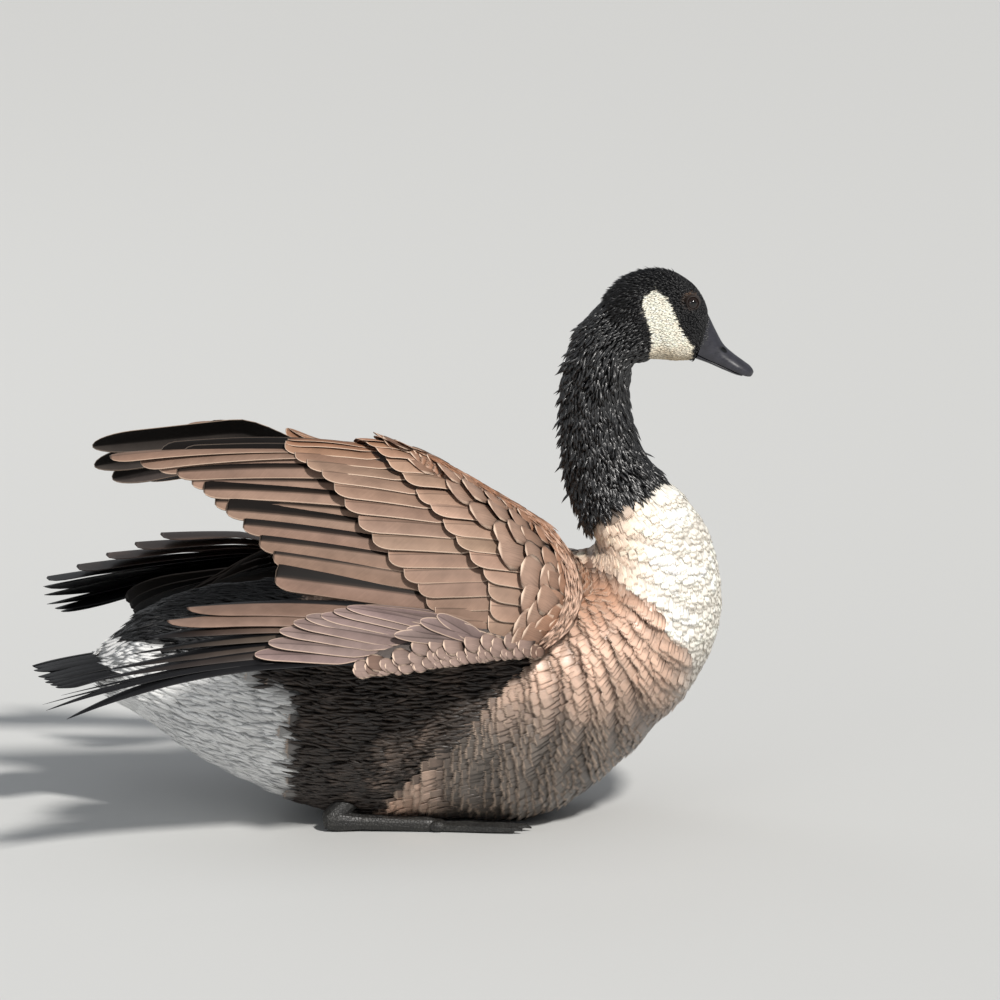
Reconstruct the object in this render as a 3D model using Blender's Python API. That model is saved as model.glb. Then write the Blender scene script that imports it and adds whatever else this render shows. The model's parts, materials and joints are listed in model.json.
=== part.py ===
"""A life-size Canada goose that sits as it does on water, with both wings half lifted off its back.

Metres, +Z up. The bird faces +X and its right side is at -Y. The origin is on the floor, under the
middle of the belly. Every solid is one named object, and those that touch keep a gap of 0.3 mm.
"""

import math
from collections import namedtuple

import bpy
import numpy as np

MM = 0.001
GAP = 0.3 * MM

# Driving dimensions of the bird
BODY_WIDTH = 0.234
NECK_WIDTH = 0.054
HEAD_WIDTH = 0.047
EYE_RADIUS = 0.0064
EYE_PLACE = (0.193, 0.0120, 0.4195)
LID_RADIUS = 0.0060
LID_TUBE = 0.0015
LID_RISE = 0.0034
LID_TURN = (0.22, 0.10)
LID_HEIGHT_SHARE = 0.88
LID_SEGMENTS = 14
LID_SIDES = 5
TAIL_LENGTH = 0.150
TARSUS_LENGTH = 0.084
MIDDLE_TOE_LENGTH = 0.080

# Share of a feather's length and share of its width, root to tip
FLIGHT_PROFILE = [(0.0, 0.30), (0.32, 0.92), (0.86, 0.92), (1.0, 0.34)]
POINTED_PROFILE = [(0.0, 0.35), (0.28, 0.95), (0.58, 0.95), (0.84, 0.52), (1.0, 0.16)]
COVERT_PROFILE = [(0.0, 0.45), (0.45, 0.95), (0.82, 0.92), (1.0, 0.40)]

# One tier of feathers: how many, the widths of its outermost and innermost one, the thickness of the blade,
# how high it arches, how far its outer edge is turned up, its outline, and the lift of its tip
Tier = namedtuple("Tier", "count outer_width inner_width thickness arch tilt profile lift")
TILT = math.radians(11)
SECONDARIES = Tier(12, 0.029, 0.035, 0.0012, 0.004, TILT, FLIGHT_PROFILE, 0.0)
PRIMARIES = Tier(10, 0.019, 0.032, 0.0012, 0.013, 1.4 * TILT, POINTED_PROFILE, 0.0)
PRIMARY_COVERTS = Tier(5, 0.018, 0.022, 0.0011, 0.002, TILT, COVERT_PROFILE, 0.004)
ALULA = Tier(2, 0.014, 0.017, 0.0012, 0.002, TILT, COVERT_PROFILE, 0.003)
GREATER_COVERTS = Tier(10, 0.025, 0.031, 0.0011, 0.001, TILT, COVERT_PROFILE, 0.007)
MEDIAN_COVERTS = Tier(8, 0.030, 0.036, 0.0011, 0.001, TILT, COVERT_PROFILE, 0.006)
TAIL_FEATHERS = Tier(14, 0.019, 0.019, 0.0012, 0.001, math.radians(-4), FLIGHT_PROFILE, 0.0)
# A direction on the upper side of the right wing, wherever the wing's own surface turns
UPPER_SIDE = np.array([0.0, -0.7, 0.7])

# The trunk in the plane of symmetry, tail to bill: x and z of the back, x and z of the breast or belly
# opposite it, half width as a share of the named width, and how far the widest place lies below half height
TRUNK = {
    "torso": (
        BODY_WIDTH / 2,
        [
            (-0.272, 0.144, -0.276, 0.106, 0.16, 0.00),
            (-0.262, 0.153, -0.268, 0.093, 0.29, 0.00),
            (-0.238, 0.172, -0.240, 0.074, 0.43, 0.00),
            (-0.200, 0.186, -0.200, 0.046, 0.57, 0.02),
            (-0.150, 0.193, -0.152, 0.022, 0.73, 0.03),
            (-0.100, 0.197, -0.105, 0.005, 0.86, 0.04),
            (-0.050, 0.203, -0.056, -0.002, 0.95, 0.05),
            (0.000, 0.208, 0.000, -0.002, 1.00, 0.05),
            (0.045, 0.213, 0.055, -0.002, 1.00, 0.04),
            (0.080, 0.216, 0.100, 0.014, 0.975, 0.02),
            (0.100, 0.218, 0.140, 0.046, 0.92, 0.00),
            (0.108, 0.220, 0.172, 0.079, 0.84, 0.00),
            (0.111, 0.222, 0.198, 0.108, 0.76, 0.00),
            (0.112, 0.225, 0.214, 0.140, 0.69, 0.00),
            (0.112, 0.229, 0.220, 0.174, 0.62, 0.00),
            (0.109, 0.234, 0.216, 0.208, 0.545, 0.00),
        ],
    ),
    "neck": (
        NECK_WIDTH / 2,
        [
            (0.104, 0.243, 0.204, 0.240, 2.00, 0.00),
            (0.098, 0.257, 0.184, 0.266, 1.58, 0.00),
            (0.093, 0.277, 0.166, 0.283, 1.28, 0.00),
            (0.090, 0.303, 0.152, 0.304, 1.10, 0.00),
            (0.089, 0.335, 0.145, 0.333, 1.02, 0.00),
            (0.092, 0.363, 0.145, 0.354, 0.98, 0.00),
        ],
    ),
    "head": (
        HEAD_WIDTH / 2,
        [
            (0.102, 0.394, 0.149, 0.367, 1.04, 0.00),
            (0.120, 0.417, 0.158, 0.370, 1.02, 0.00),
            (0.140, 0.437, 0.169, 0.370, 1.00, 0.02),
            (0.160, 0.4445, 0.180, 0.3695, 1.00, 0.05),
            (0.179, 0.4420, 0.187, 0.3700, 0.94, 0.08),
            (0.194, 0.4330, 0.193, 0.3705, 0.84, 0.10),
            (0.203, 0.4195, 0.1955, 0.3710, 0.71, 0.06),
            (0.2070, 0.4064, 0.1963, 0.3716, 0.58, 0.00),
        ],
    ),
}

# Bill, base to tip, in the same columns: the half width is in metres here. The two halves meet on flat faces
UPPER_BILL = [
    (0.2070, 0.4060, 0.1980, 0.3772, 0.0130),
    (0.2132, 0.3930, 0.2050, 0.3735, 0.0119),
    (0.2188, 0.3832, 0.2120, 0.3702, 0.0111),
    (0.2262, 0.3762, 0.2200, 0.3664, 0.0105),
    (0.2345, 0.3700, 0.2290, 0.3622, 0.0101),
    (0.2395, 0.3662, 0.2352, 0.3592, 0.0086),
    (0.2416, 0.3634, 0.2396, 0.3580, 0.0050),
    (0.2426, 0.3612, 0.2414, 0.3585, 0.0018),
]
LOWER_BILL = [
    (0.19780, 0.3767, 0.1964, 0.3722, 0.0108),
    (0.2048, 0.3730, 0.2038, 0.3697, 0.0101),
    (0.2118, 0.3697, 0.2107, 0.3668, 0.0096),
    (0.2198, 0.3659, 0.2186, 0.3632, 0.0090),
    (0.2288, 0.3617, 0.2278, 0.3594, 0.0080),
    (0.2340, 0.3594, 0.2332, 0.3578, 0.0046),
]
BILL_FLAT = 0.35
NOSTRIL_PLACE = (0.2165, 0.0098, 0.3795)
NOSTRIL_SIZE = (0.0046, 0.0022, 0.0017)

# Upper side of the right arm: rows run from the wrist up to the elbow, columns from the leading edge
# back to the tips of the greater coverts
ARM_NET = [
    [(0.078, -0.118, 0.158), (0.058, -0.132, 0.163), (0.028, -0.140, 0.172), (-0.008, -0.144, 0.186)],
    [(0.101, -0.106, 0.180), (0.072, -0.126, 0.200), (0.030, -0.136, 0.214), (-0.027, -0.140, 0.215)],
    [(0.104, -0.080, 0.214), (0.062, -0.110, 0.238), (0.004, -0.126, 0.249), (-0.067, -0.132, 0.254)],
    [(0.074, -0.052, 0.251), (0.024, -0.086, 0.275), (-0.028, -0.106, 0.282), (-0.101, -0.108, 0.293)],
    [(-0.008, -0.052, 0.300), (-0.032, -0.066, 0.308), (-0.062, -0.084, 0.312), (-0.131, -0.082, 0.311)],
    [(-0.020, -0.044, 0.304), (-0.044, -0.052, 0.312), (-0.075, -0.066, 0.314), (-0.127, -0.070, 0.313)],
]
# Upper side of the right hand: rows run from the wrist out, columns from the leading edge in
HAND_NET = [
    [(0.078, -0.124, 0.158), (0.068, -0.130, 0.170), (0.058, -0.132, 0.182)],
    [(0.034, -0.158, 0.160), (0.024, -0.155, 0.174), (0.014, -0.148, 0.185)],
    [(-0.010, -0.182, 0.160), (-0.022, -0.178, 0.172), (-0.032, -0.170, 0.181)],
    [(-0.061, -0.206, 0.158), (-0.068, -0.203, 0.165), (-0.079, -0.196, 0.170)],
]
ARM_THICKNESS = (0.010, 0.014, 0.011, 0.006)
HAND_THICKNESS = (0.010, 0.011, 0.007)
# Upper arm, shoulder to elbow: place of its axis and radius
UPPER_ARM = [
    (0.098, -0.050, 0.176, 0.030),
    (0.078, -0.062, 0.205, 0.028),
    (0.038, -0.068, 0.246, 0.020),
    (-0.008, -0.070, 0.282, 0.013),
    (-0.040, -0.074, 0.302, 0.008),
]

# The tail: its virtual pivot lies inside the torso, and each pair of feathers lies below the pair inside it
TAIL_ROOT = (-0.262, 0.0, 0.134)
TAIL_DROOP = 0.17
TAIL_SPREAD = math.radians(20)
TAIL_HIDDEN_SHARE = 0.47
TAIL_LAYER = 0.0013
TAIL_ROUNDING = 0.10
TAIL_BLOCK_STEP = 0.010
TAIL_BLOCK_RADII = (0.034, 0.037, 0.036, 0.028)
TAIL_BLOCK_FLATNESS = 0.20

# Tips of the feathers of each tier, from the outermost to the innermost, as on the right wing
SECONDARY_TIPS = [
    (-0.160, -0.152, 0.222),
    (-0.164, -0.136, 0.250),
    (-0.202, -0.106, 0.277),
    (-0.278, -0.064, 0.303),
]
PRIMARY_TIPS = [
    (-0.303, -0.266, 0.133),
    (-0.318, -0.256, 0.140),
    (-0.300, -0.242, 0.149),
    (-0.262, -0.220, 0.168),
    (-0.232, -0.194, 0.188),
    (-0.209, -0.172, 0.203),
]
LEFT_PRIMARY_TIPS = [
    (-0.316, -0.262, 0.114),
    (-0.325, -0.256, 0.119),
    (-0.332, -0.248, 0.130),
    (-0.330, -0.238, 0.146),
    (-0.285, -0.205, 0.171),
    (-0.235, -0.175, 0.195),
]
PRIMARY_COVERT_TIPS = [
    (-0.154, -0.214, 0.172),
    (-0.129, -0.192, 0.192),
    (-0.100, -0.180, 0.199),
    (-0.072, -0.166, 0.202),
]
ALULA_TIPS = [(-0.045, -0.181, 0.183), (-0.030, -0.174, 0.190), (-0.012, -0.164, 0.195)]

# The right leg: the heel, the shin from under the flank down to it as offsets from the heel, and the tarsus
# as shares of its length with radii
HEEL = (-0.096, 0.066, 0.0085)
SHIN_PATH = [(0.030, 0.012, 0.030), (0.012, 0.004, 0.012), (0.0, 0.0, 0.0), (-0.005, 0.0, -0.001)]
SHIN_RADII = (0.010, 0.0085, 0.0088, 0.0055)
TARSUS = [(-0.02, 0.0080), (0.08, 0.0086), (0.30, 0.0062), (0.70, 0.0060), (0.92, 0.0064), (1.0, 0.0050)]
# The foot: toes and claws as shares of a toe's length with radii, and the claws' rise between them
FOOT_BALL = (0.0085, 0.0088, 0.0056)
TOE_HEIGHT = 0.0038
TOE_SPREAD = (-9, 0, 9)
TOE_LENGTHS = (0.84, 1.0, 0.92)
TOE = [(0.0, 0.0042), (0.14, 0.0044), (0.38, 0.0040), (0.66, 0.0038), (0.90, 0.0027)]
CLAW = [(0.86, 0.0, 0.0026), (0.93, 0.0006, 0.0020), (0.99, -0.0010, 0.0006)]
HIND_TOE_PATH = [(-0.006, -0.007, 0.0005), (-0.014, -0.011, -0.0012), (-0.022, -0.012, -0.0024)]
HIND_TOE_RADII = (0.0030, 0.0026, 0.0010)
WEB_SHARE = 0.84
WEB_THICKNESS = 0.0014

# The far wing is carried lower at the elbow, by this much, over this stretch of its length
LEFT_ELBOW_DROP = 0.030
LEFT_DROP_X = (-0.175, -0.095)
LEFT_DROP_Z = (0.165, 0.225)

COLOURS = {
    "black_plumage": ((0.012, 0.012, 0.014), 0.45),
    "brown_plumage": ((0.150, 0.100, 0.070), 0.70),
    "tan_plumage": ((0.420, 0.290, 0.190), 0.75),
    "horn_black": ((0.015, 0.015, 0.017), 0.35),
    "leg_skin": ((0.030, 0.030, 0.032), 0.50),
    "eye_brown": ((0.020, 0.010, 0.006), 0.08),
}


def clear_scene():
    for obj in list(bpy.data.objects):
        bpy.data.objects.remove(obj, do_unlink=True)


def material(name):
    """The Principled material of that name, made the first time it is asked for."""
    found = bpy.data.materials.get(name)
    if found:
        return found
    made = bpy.data.materials.new(name)
    made.use_nodes = True
    colour, roughness = COLOURS[name]
    shader = made.node_tree.nodes["Principled BSDF"]
    shader.inputs["Base Color"].default_value = (*colour, 1.0)
    shader.inputs["Roughness"].default_value = roughness
    shader.inputs["Metallic"].default_value = 0.0
    return made


def unit(v):
    v = np.asarray(v, float)
    return v / max(np.linalg.norm(v), 1e-12)


def smooth_step(low, high, value):
    share = np.clip((value - low) / (high - low), 0.0, 1.0)
    return share * share * (3 - 2 * share)


def along(points, share):
    """The point at a share, 0 to 1, of the way along a smooth curve through the points."""
    points = np.asarray(points, float)
    place = np.clip(share, 0.0, 1.0) * (len(points) - 1)
    i = min(int(place), len(points) - 2)
    t = place - i
    first, last = points[i], points[i + 1]
    before = points[i - 1] if i > 0 else 2 * first - last
    after = points[i + 2] if i + 2 < len(points) else 2 * last - first
    return 0.5 * (
        2 * first
        + (last - before) * t
        + (2 * before - 5 * first + 4 * last - after) * t**2
        + (3 * first - before - 3 * last + after) * t**3
    )


def new_object(name, points, faces, material_name):
    mesh = bpy.data.meshes.new(name)
    mesh.from_pydata([tuple(p) for p in points], [], faces)
    mesh.materials.append(material(material_name))
    mesh.validate()
    obj = bpy.data.objects.new(name, mesh)
    bpy.context.scene.collection.objects.link(obj)
    return obj


def skinned(rings, start_cap=True, end_cap=True):
    """Points and faces of a closed tube through rings of equal length, each end closed by a fan."""
    count = len(rings[0])
    points = [p for ring in rings for p in ring]
    faces = []
    for i in range(len(rings) - 1):
        for j in range(count):
            k = (j + 1) % count
            a, b = i * count + j, i * count + k
            c, d = a + count, b + count
            faces += [(a, b, d), (a, d, c)]
    for ring_index, turned in ((0, True), (len(rings) - 1, False)):
        centre = len(points)
        points.append(np.mean(rings[ring_index], axis=0))
        for j in range(count):
            edge = (ring_index * count + j, ring_index * count + (j + 1) % count)
            faces.append((centre, *edge[::-1]) if turned else (centre, *edge))
    return points, faces


def facing_out(points, faces):
    """The faces, turned round if the closed shape is inside out."""
    p = np.asarray(points, float)
    f = np.asarray(faces)
    volume = np.einsum("ij,ij->i", p[f[:, 0]], np.cross(p[f[:, 1]], p[f[:, 2]])).sum()
    return faces if volume > 0 else [face[::-1] for face in faces]


def trunk_rows():
    """The stations of torso, neck and head as one list, with each half width in metres."""
    rows = []
    for half_width, stations in TRUNK.values():
        rows += [(*s[:4], s[4] * half_width, s[5]) for s in stations]
    return rows


def section_ring(station, count):
    """A ring across the bird: it runs from the back, down one side to the belly and up the other."""
    xd, zd, xv, zv, half_width, low = station
    back, belly = np.array([xd, 0, zd]), np.array([xv, 0, zv])
    centre, half = (back + belly) / 2, (back - belly) / 2
    ring = []
    for j in range(count):
        angle = 2 * math.pi * j / count
        side = half_width * math.sin(angle) * (1 - low * math.cos(angle))
        ring.append(centre + half * math.cos(angle) + np.array([0, side, 0]))
    return np.array(ring)


def upper_bill_ring(station, count):
    """A domed section: round above, and flat below where it meets the lower half."""
    return flattened_ring(station, count, 1)


def lower_bill_ring(station, count):
    return flattened_ring(station, count, -1)


def flattened_ring(station, count, up):
    xd, zd, xv, zv, half_width = station
    back, belly = np.array([xd, 0, zd]), np.array([xv, 0, zv])
    ring = []
    for j in range(count):
        angle = 2 * math.pi * j / count
        height = max(up * math.cos(angle), -BILL_FLAT)
        share = (height + BILL_FLAT) / (1 + BILL_FLAT)
        share = share if up > 0 else 1 - share
        ring.append(belly + (back - belly) * share + np.array([0, half_width * math.sin(angle), 0]))
    return np.array(ring)


def section_normal(station):
    """Unit vector across a section's plane, towards the bill."""
    return unit((station[1] - station[3], 0, station[2] - station[0]))


def lofted(name, rows, span, ring_count, around, material_name, ends_meet=(True, True), section=section_ring):
    """A closed solid through the stations of a span. An end that meets a neighbour stands back by half
    the gap."""
    start, end = span
    rings = []
    last = len(rows) - 1
    for i in range(ring_count):
        station = along(rows, (start + (end - start) * i / (ring_count - 1)) / last)
        ring = section(station, around)
        if i == 0 and ends_meet[0]:
            ring = ring + section_normal(station) * GAP / 2
        if i == ring_count - 1 and ends_meet[1]:
            ring = ring - section_normal(station) * GAP / 2
        rings.append(ring)
    points, faces = skinned(rings)
    return new_object(name, points, facing_out(points, faces), material_name)


def ellipsoid(name, centre, radii, material_name, around=14, rings=7):
    stack = []
    for i in range(rings):
        level = math.pi * (i + 0.5) / rings
        ring = []
        for j in range(around):
            turn = 2 * math.pi * j / around
            way = (math.sin(level) * math.cos(turn), math.cos(level), math.sin(level) * math.sin(turn))
            ring.append(np.array(centre) + np.array(radii) * way)
        stack.append(ring)
    points, faces = skinned(stack)
    points[-2] = np.array(centre) + (0, radii[1], 0)
    points[-1] = np.array(centre) - (0, radii[1], 0)
    return new_object(name, points, facing_out(points, faces), material_name)


def tube(name, path, radii, material_name, around=10, flatness=1.0):
    """A round limb along a path. Its height is its radius times flatness."""
    path = [np.array(p, float) for p in path]
    rings = []
    for i, centre in enumerate(path):
        forward = unit(path[min(i + 1, len(path) - 1)] - path[max(i - 1, 0)])
        side = unit(np.cross(forward, (0, 0, 1))) if abs(forward[2]) < 0.9 else np.array([0.0, 1.0, 0.0])
        rise = np.cross(side, forward)
        turn = [2 * math.pi * (j + 0.5) / around for j in range(around)]
        rings.append(
            [centre + radii[i] * (side * math.cos(a) + rise * math.sin(a) * flatness) for a in turn]
        )
    points, faces = skinned(rings)
    return new_object(name, points, facing_out(points, faces), material_name)


def boolean(obj, operation, others, solver="EXACT"):
    """Applies one Boolean between the object and a list of others, which are then removed."""
    collection = bpy.data.collections.new("pieces")
    for other in others:
        bpy.context.scene.collection.objects.unlink(other)
        collection.objects.link(other)
    bpy.context.scene.collection.children.link(collection)
    modifier = obj.modifiers.new("boolean", "BOOLEAN")
    modifier.operation = operation
    modifier.operand_type = "COLLECTION"
    modifier.collection = collection
    modifier.solver = solver
    graph = bpy.context.evaluated_depsgraph_get()
    mesh = bpy.data.meshes.new_from_object(obj.evaluated_get(graph))
    obj.modifiers.clear()
    obj.data = mesh
    for other in list(collection.objects):
        bpy.data.objects.remove(other, do_unlink=True)
    bpy.data.collections.remove(collection)
    return obj


def keep_largest(obj):
    """Drops every loose scrap that a union or a cut has left beside the main closed surface."""
    mesh = obj.data
    owner = list(range(len(mesh.vertices)))

    def root(i):
        while owner[i] != i:
            owner[i] = owner[owner[i]]
            i = owner[i]
        return i

    for edge in mesh.edges:
        a, b = root(edge.vertices[0]), root(edge.vertices[1])
        owner[a] = b
    sizes = {}
    for i in range(len(mesh.vertices)):
        sizes[root(i)] = sizes.get(root(i), 0) + 1
    main = max(sizes, key=sizes.get)
    kept = {i for i in range(len(mesh.vertices)) if root(i) == main}
    renumber = {old: new for new, old in enumerate(sorted(kept))}
    points = [tuple(mesh.vertices[i].co) for i in sorted(kept)]
    faces = [[renumber[v] for v in p.vertices] for p in mesh.polygons if p.vertices[0] in kept]
    fresh = bpy.data.meshes.new(obj.name)
    fresh.from_pydata(points, [], faces)
    for slot in mesh.materials:
        fresh.materials.append(slot)
    obj.data = fresh
    return obj


def grown_copy(obj, by):
    """A copy of the object with its surface moved out by a distance, to cut a neighbour clear of it."""
    mesh = obj.data
    places = np.array([v.co for v in mesh.vertices])
    normals = np.array([v.normal for v in mesh.vertices])
    faces = [tuple(p.vertices) for p in mesh.polygons]
    return new_object(obj.name + "_grown", places + normals * by, faces, "horn_black")


def net_point(net, row_share, column_share):
    """The point of a smooth surface through a net of points."""
    across = [along(row, column_share) for row in net]
    return along(across, row_share)


def net_normal(net, row_share, column_share):
    step = 0.02
    r0, r1 = max(row_share - step, 0), min(row_share + step, 1)
    c0, c1 = max(column_share - step, 0), min(column_share + step, 1)
    down = net_point(net, r1, column_share) - net_point(net, r0, column_share)
    back = net_point(net, row_share, c1) - net_point(net, row_share, c0)
    normal = unit(np.cross(down, back))
    return normal if normal @ UPPER_SIDE > 0 else -normal


def slab(upper, lower, rows, columns):
    """Points and faces of a closed plate between two grids of points, cut into triangles alike on both."""
    below = len(upper)
    faces = []
    for i in range(rows - 1):
        for j in range(columns - 1):
            a = i * columns + j
            b, c, d = a + 1, a + columns, a + columns + 1
            faces += [(a, b, d), (a, d, c)]
            faces += [(a + below, d + below, b + below), (a + below, c + below, d + below)]
    border = [(i, 0) for i in range(rows)]
    border += [(rows - 1, j) for j in range(1, columns)]
    border += [(i, columns - 1) for i in range(rows - 2, -1, -1)]
    border += [(0, j) for j in range(columns - 2, 0, -1)]
    loop = [i * columns + j for i, j in border]
    for a, b in zip(loop, loop[1:] + loop[:1]):
        faces += [(a, b, b + below), (a, b + below, a + below)]
    return upper + lower, faces


def padded_net(name, net, thickness, rows, columns, column_end, material_name, place):
    """The flesh of a limb under its feathers: a closed pad whose upper side is the net's surface."""
    upper, lower = [], []
    for i in range(rows):
        for j in range(columns):
            r, c = i / (rows - 1), column_end * j / (columns - 1)
            edge = 0.45 if i in (0, rows - 1) or j in (0, columns - 1) else 1.0
            depth = along([(t, 0, 0) for t in thickness], j / (columns - 1))[0] * edge
            point, normal = net_point(net, r, c), net_normal(net, r, c)
            upper.append(place(point - normal * (1 - edge) * depth))
            lower.append(place(point - normal * depth * (2 - edge)))
    points, faces = slab(upper, lower, rows, columns)
    return new_object(name, points, facing_out(points, faces), material_name)


def vane(root, tip, side, normal, width, tier, place):
    """One feather as a closed blade. side points at its outer edge, which the tier's tilt lifts along the
    normal, so that its inner neighbour's edge lies over it."""
    root, tip = np.array(root, float), np.array(tip, float)
    middle = (root + tip) / 2 + unit(normal) * tier.arch * 2
    upper, lower = [], []
    for share, wide in tier.profile:
        centre = (1 - share) ** 2 * root + 2 * share * (1 - share) * middle + share**2 * tip
        forward = unit((1 - share) * (middle - root) + share * (tip - middle))
        flat = unit(side - forward * (forward @ side))
        rise = unit(np.cross(flat, forward))
        rise = rise if rise @ normal > 0 else -rise
        across = flat * math.cos(tier.tilt) + rise * math.sin(tier.tilt)
        above = rise * math.cos(tier.tilt) - flat * math.sin(tier.tilt)
        for edge in (-0.5, 0.5):
            point = centre + across * edge * width * wide
            upper.append(place(point + above * tier.thickness / 2))
            lower.append(place(point - above * tier.thickness / 2))
    points, faces = slab(upper, lower, len(tier.profile), 2)
    return new_object("vane", points, facing_out(points, faces), "brown_plumage")


def feathers(tier, roots, tips, place):
    """A tier of overlapping feathers. roots and tips give a point at a share of the way along the tier,
    0 for its outermost feather."""
    made = []
    step = 0.5 / tier.count
    for i in range(tier.count):
        share = i / max(tier.count - 1, 1)
        root, tip = roots(share), tips(share)
        low, high = max(share - step, 0), min(share + step, 1)
        outward = (roots(low) + tips(low)) - (roots(high) + tips(high))
        normal = unit(np.cross(tip - root, outward))
        normal = normal if normal @ UPPER_SIDE > 0 else -normal
        width = tier.outer_width + (tier.inner_width - tier.outer_width) * share
        made.append(vane(root, tip + normal * tier.lift, outward, normal, width, tier, place))
    return made


def line_on(net, first_row, last_row, column, depth=0.0):
    """A line along a limb's upper side, or that deep under it, as a function of the share along it."""

    def point(share):
        row = first_row + (last_row - first_row) * share
        return net_point(net, row, column) - net_normal(net, row, column) * depth

    return point


def line_through(points):
    return lambda share: along(points, share)


def right_place(point):
    return np.array(point, float)


def left_place(point):
    """The mirrored place of a point of the right wing, lowered near the elbow."""
    x, y, z = point
    forward = smooth_step(*LEFT_DROP_X, x)
    high = smooth_step(*LEFT_DROP_Z, z)
    return np.array([x, -y, z - LEFT_ELBOW_DROP * forward * high])


def wing_feathers(primary_tips, place):
    """The tiers of one wing, from the flight feathers up to the coverts that lie over them."""
    secondary_roots = line_on(ARM_NET, 0.14, 0.94, column=0.62, depth=0.006)
    primary_roots = line_on(HAND_NET, 0.96, 0.16, column=0.55, depth=0.005)
    primary_covert_roots = line_on(HAND_NET, 0.93, 0.23, column=0.80, depth=0.003)
    alula_roots = line_on(HAND_NET, 0.20, 0.30, column=0.50, depth=0.002)
    greater_roots = line_on(ARM_NET, 0.10, 0.96, column=0.50, depth=0.003)
    greater_tips = line_on(ARM_NET, 0.02, 0.98, column=1.0)
    median_roots = line_on(ARM_NET, 0.14, 0.98, column=0.26, depth=0.003)
    median_tips = line_on(ARM_NET, 0.08, 0.98, column=0.68)
    return [
        *feathers(SECONDARIES, secondary_roots, line_through(SECONDARY_TIPS), place),
        *feathers(PRIMARIES, primary_roots, line_through(primary_tips), place),
        *feathers(PRIMARY_COVERTS, primary_covert_roots, line_through(PRIMARY_COVERT_TIPS), place),
        *feathers(ALULA, alula_roots, line_through(ALULA_TIPS), place),
        *feathers(GREATER_COVERTS, greater_roots, greater_tips, place),
        *feathers(MEDIAN_COVERTS, median_roots, median_tips, place),
    ]


def wing(name, primary_tips, place, torso):
    """One wing: arm, upper arm and hand with their tiers of feathers, joined and cut clear of the torso."""
    arm = padded_net(name, ARM_NET, ARM_THICKNESS, 10, 5, 0.80, "brown_plumage", place)
    hand = padded_net("hand", HAND_NET, HAND_THICKNESS, 7, 3, 1.0, "brown_plumage", place)
    bone = [along(UPPER_ARM, share) for share in np.linspace(0, 1, 6)]
    axis, radii = [place(stop[:3]) for stop in bone], [stop[3] for stop in bone]
    upper_arm = tube("upper_arm", axis, radii, "brown_plumage", 9)
    boolean(arm, "UNION", [hand, upper_arm, *wing_feathers(primary_tips, place)])
    boolean(arm, "DIFFERENCE", [grown_copy(torso, GAP)])
    return keep_largest(arm)


def build_trunk():
    """Torso, two lengths of neck and the head, parted by thin cuts across one smooth loft."""
    rows = trunk_rows()
    torso_end, neck_middle, neck_end = 15.4, 18.6, 21.6
    torso = lofted("torso", rows, (0, torso_end), 28, 26, "tan_plumage", (False, True))
    lofted("neck_lower", rows, (torso_end, neck_middle), 10, 22, "black_plumage")
    lofted("neck_upper", rows, (neck_middle, neck_end), 10, 22, "black_plumage")
    head = lofted("head", rows, (neck_end, len(rows) - 1), 16, 22, "black_plumage")
    return torso, head


def build_eyes_and_lids(head):
    """Lids stand up from the head as rings, and each eye sits in a socket that clears it."""
    x, y, z = EYE_PLACE
    lids, sockets = [], []
    for label, side in (("right", -1), ("left", 1)):
        centre = (x, side * y, z)
        lids.append(ring_of_lid(centre, side))
        sockets.append(ellipsoid("socket", centre, (EYE_RADIUS + GAP,) * 3, "black_plumage"))
        ellipsoid("eye_" + label, centre, (EYE_RADIUS,) * 3, "eye_brown")
    boolean(head, "UNION", lids)
    boolean(head, "DIFFERENCE", sockets)
    keep_largest(head)


def ring_of_lid(centre, side):
    """A round ridge about the eye, on the line where the eye comes out of the head."""
    outward = unit((LID_TURN[0], side, LID_TURN[1]))
    across = unit(np.cross(outward, (0, 0, 1)))
    upright = np.cross(across, outward)
    middle = np.array(centre) + outward * LID_RISE
    points, faces = [], []
    for i in range(LID_SEGMENTS):
        turn = 2 * math.pi * i / LID_SEGMENTS
        radial = across * math.cos(turn) + upright * math.sin(turn) * LID_HEIGHT_SHARE
        for j in range(LID_SIDES):
            lean = 2 * math.pi * j / LID_SIDES
            rim = radial * (LID_RADIUS + LID_TUBE * math.cos(lean))
            points.append(middle + rim + outward * LID_TUBE * math.sin(lean))
    for i in range(LID_SEGMENTS):
        for j in range(LID_SIDES):
            a, b = i * LID_SIDES + j, i * LID_SIDES + (j + 1) % LID_SIDES
            c, d = (a + LID_SIDES) % len(points), (b + LID_SIDES) % len(points)
            faces += [(a, b, d), (a, d, c)]
    return new_object("lid", points, facing_out(points, faces), "black_plumage")


def build_bill():
    upper = lofted("bill_upper", UPPER_BILL, (0, 7), 12, 16, "horn_black", (True, False), upper_bill_ring)
    lofted("bill_lower", LOWER_BILL, (0, 5), 8, 12, "horn_black", (True, False), lower_bill_ring)
    x, y, z = NOSTRIL_PLACE
    pits = [ellipsoid("pit", (x, side * y, z), NOSTRIL_SIZE, "horn_black", 12, 6) for side in (-1, 1)]
    for pit in pits:
        turn_about_y(pit, (x, z), math.radians(35))
    boolean(upper, "DIFFERENCE", pits)
    keep_largest(upper)


def turn_about_y(obj, centre, angle):
    """Turns an object's points about a line along Y, from +X towards -Z."""
    x0, z0 = centre
    for vertex in obj.data.vertices:
        x, z = vertex.co.x - x0, vertex.co.z - z0
        vertex.co.x = x0 + x * math.cos(angle) + z * math.sin(angle)
        vertex.co.z = z0 - x * math.sin(angle) + z * math.cos(angle)


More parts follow.
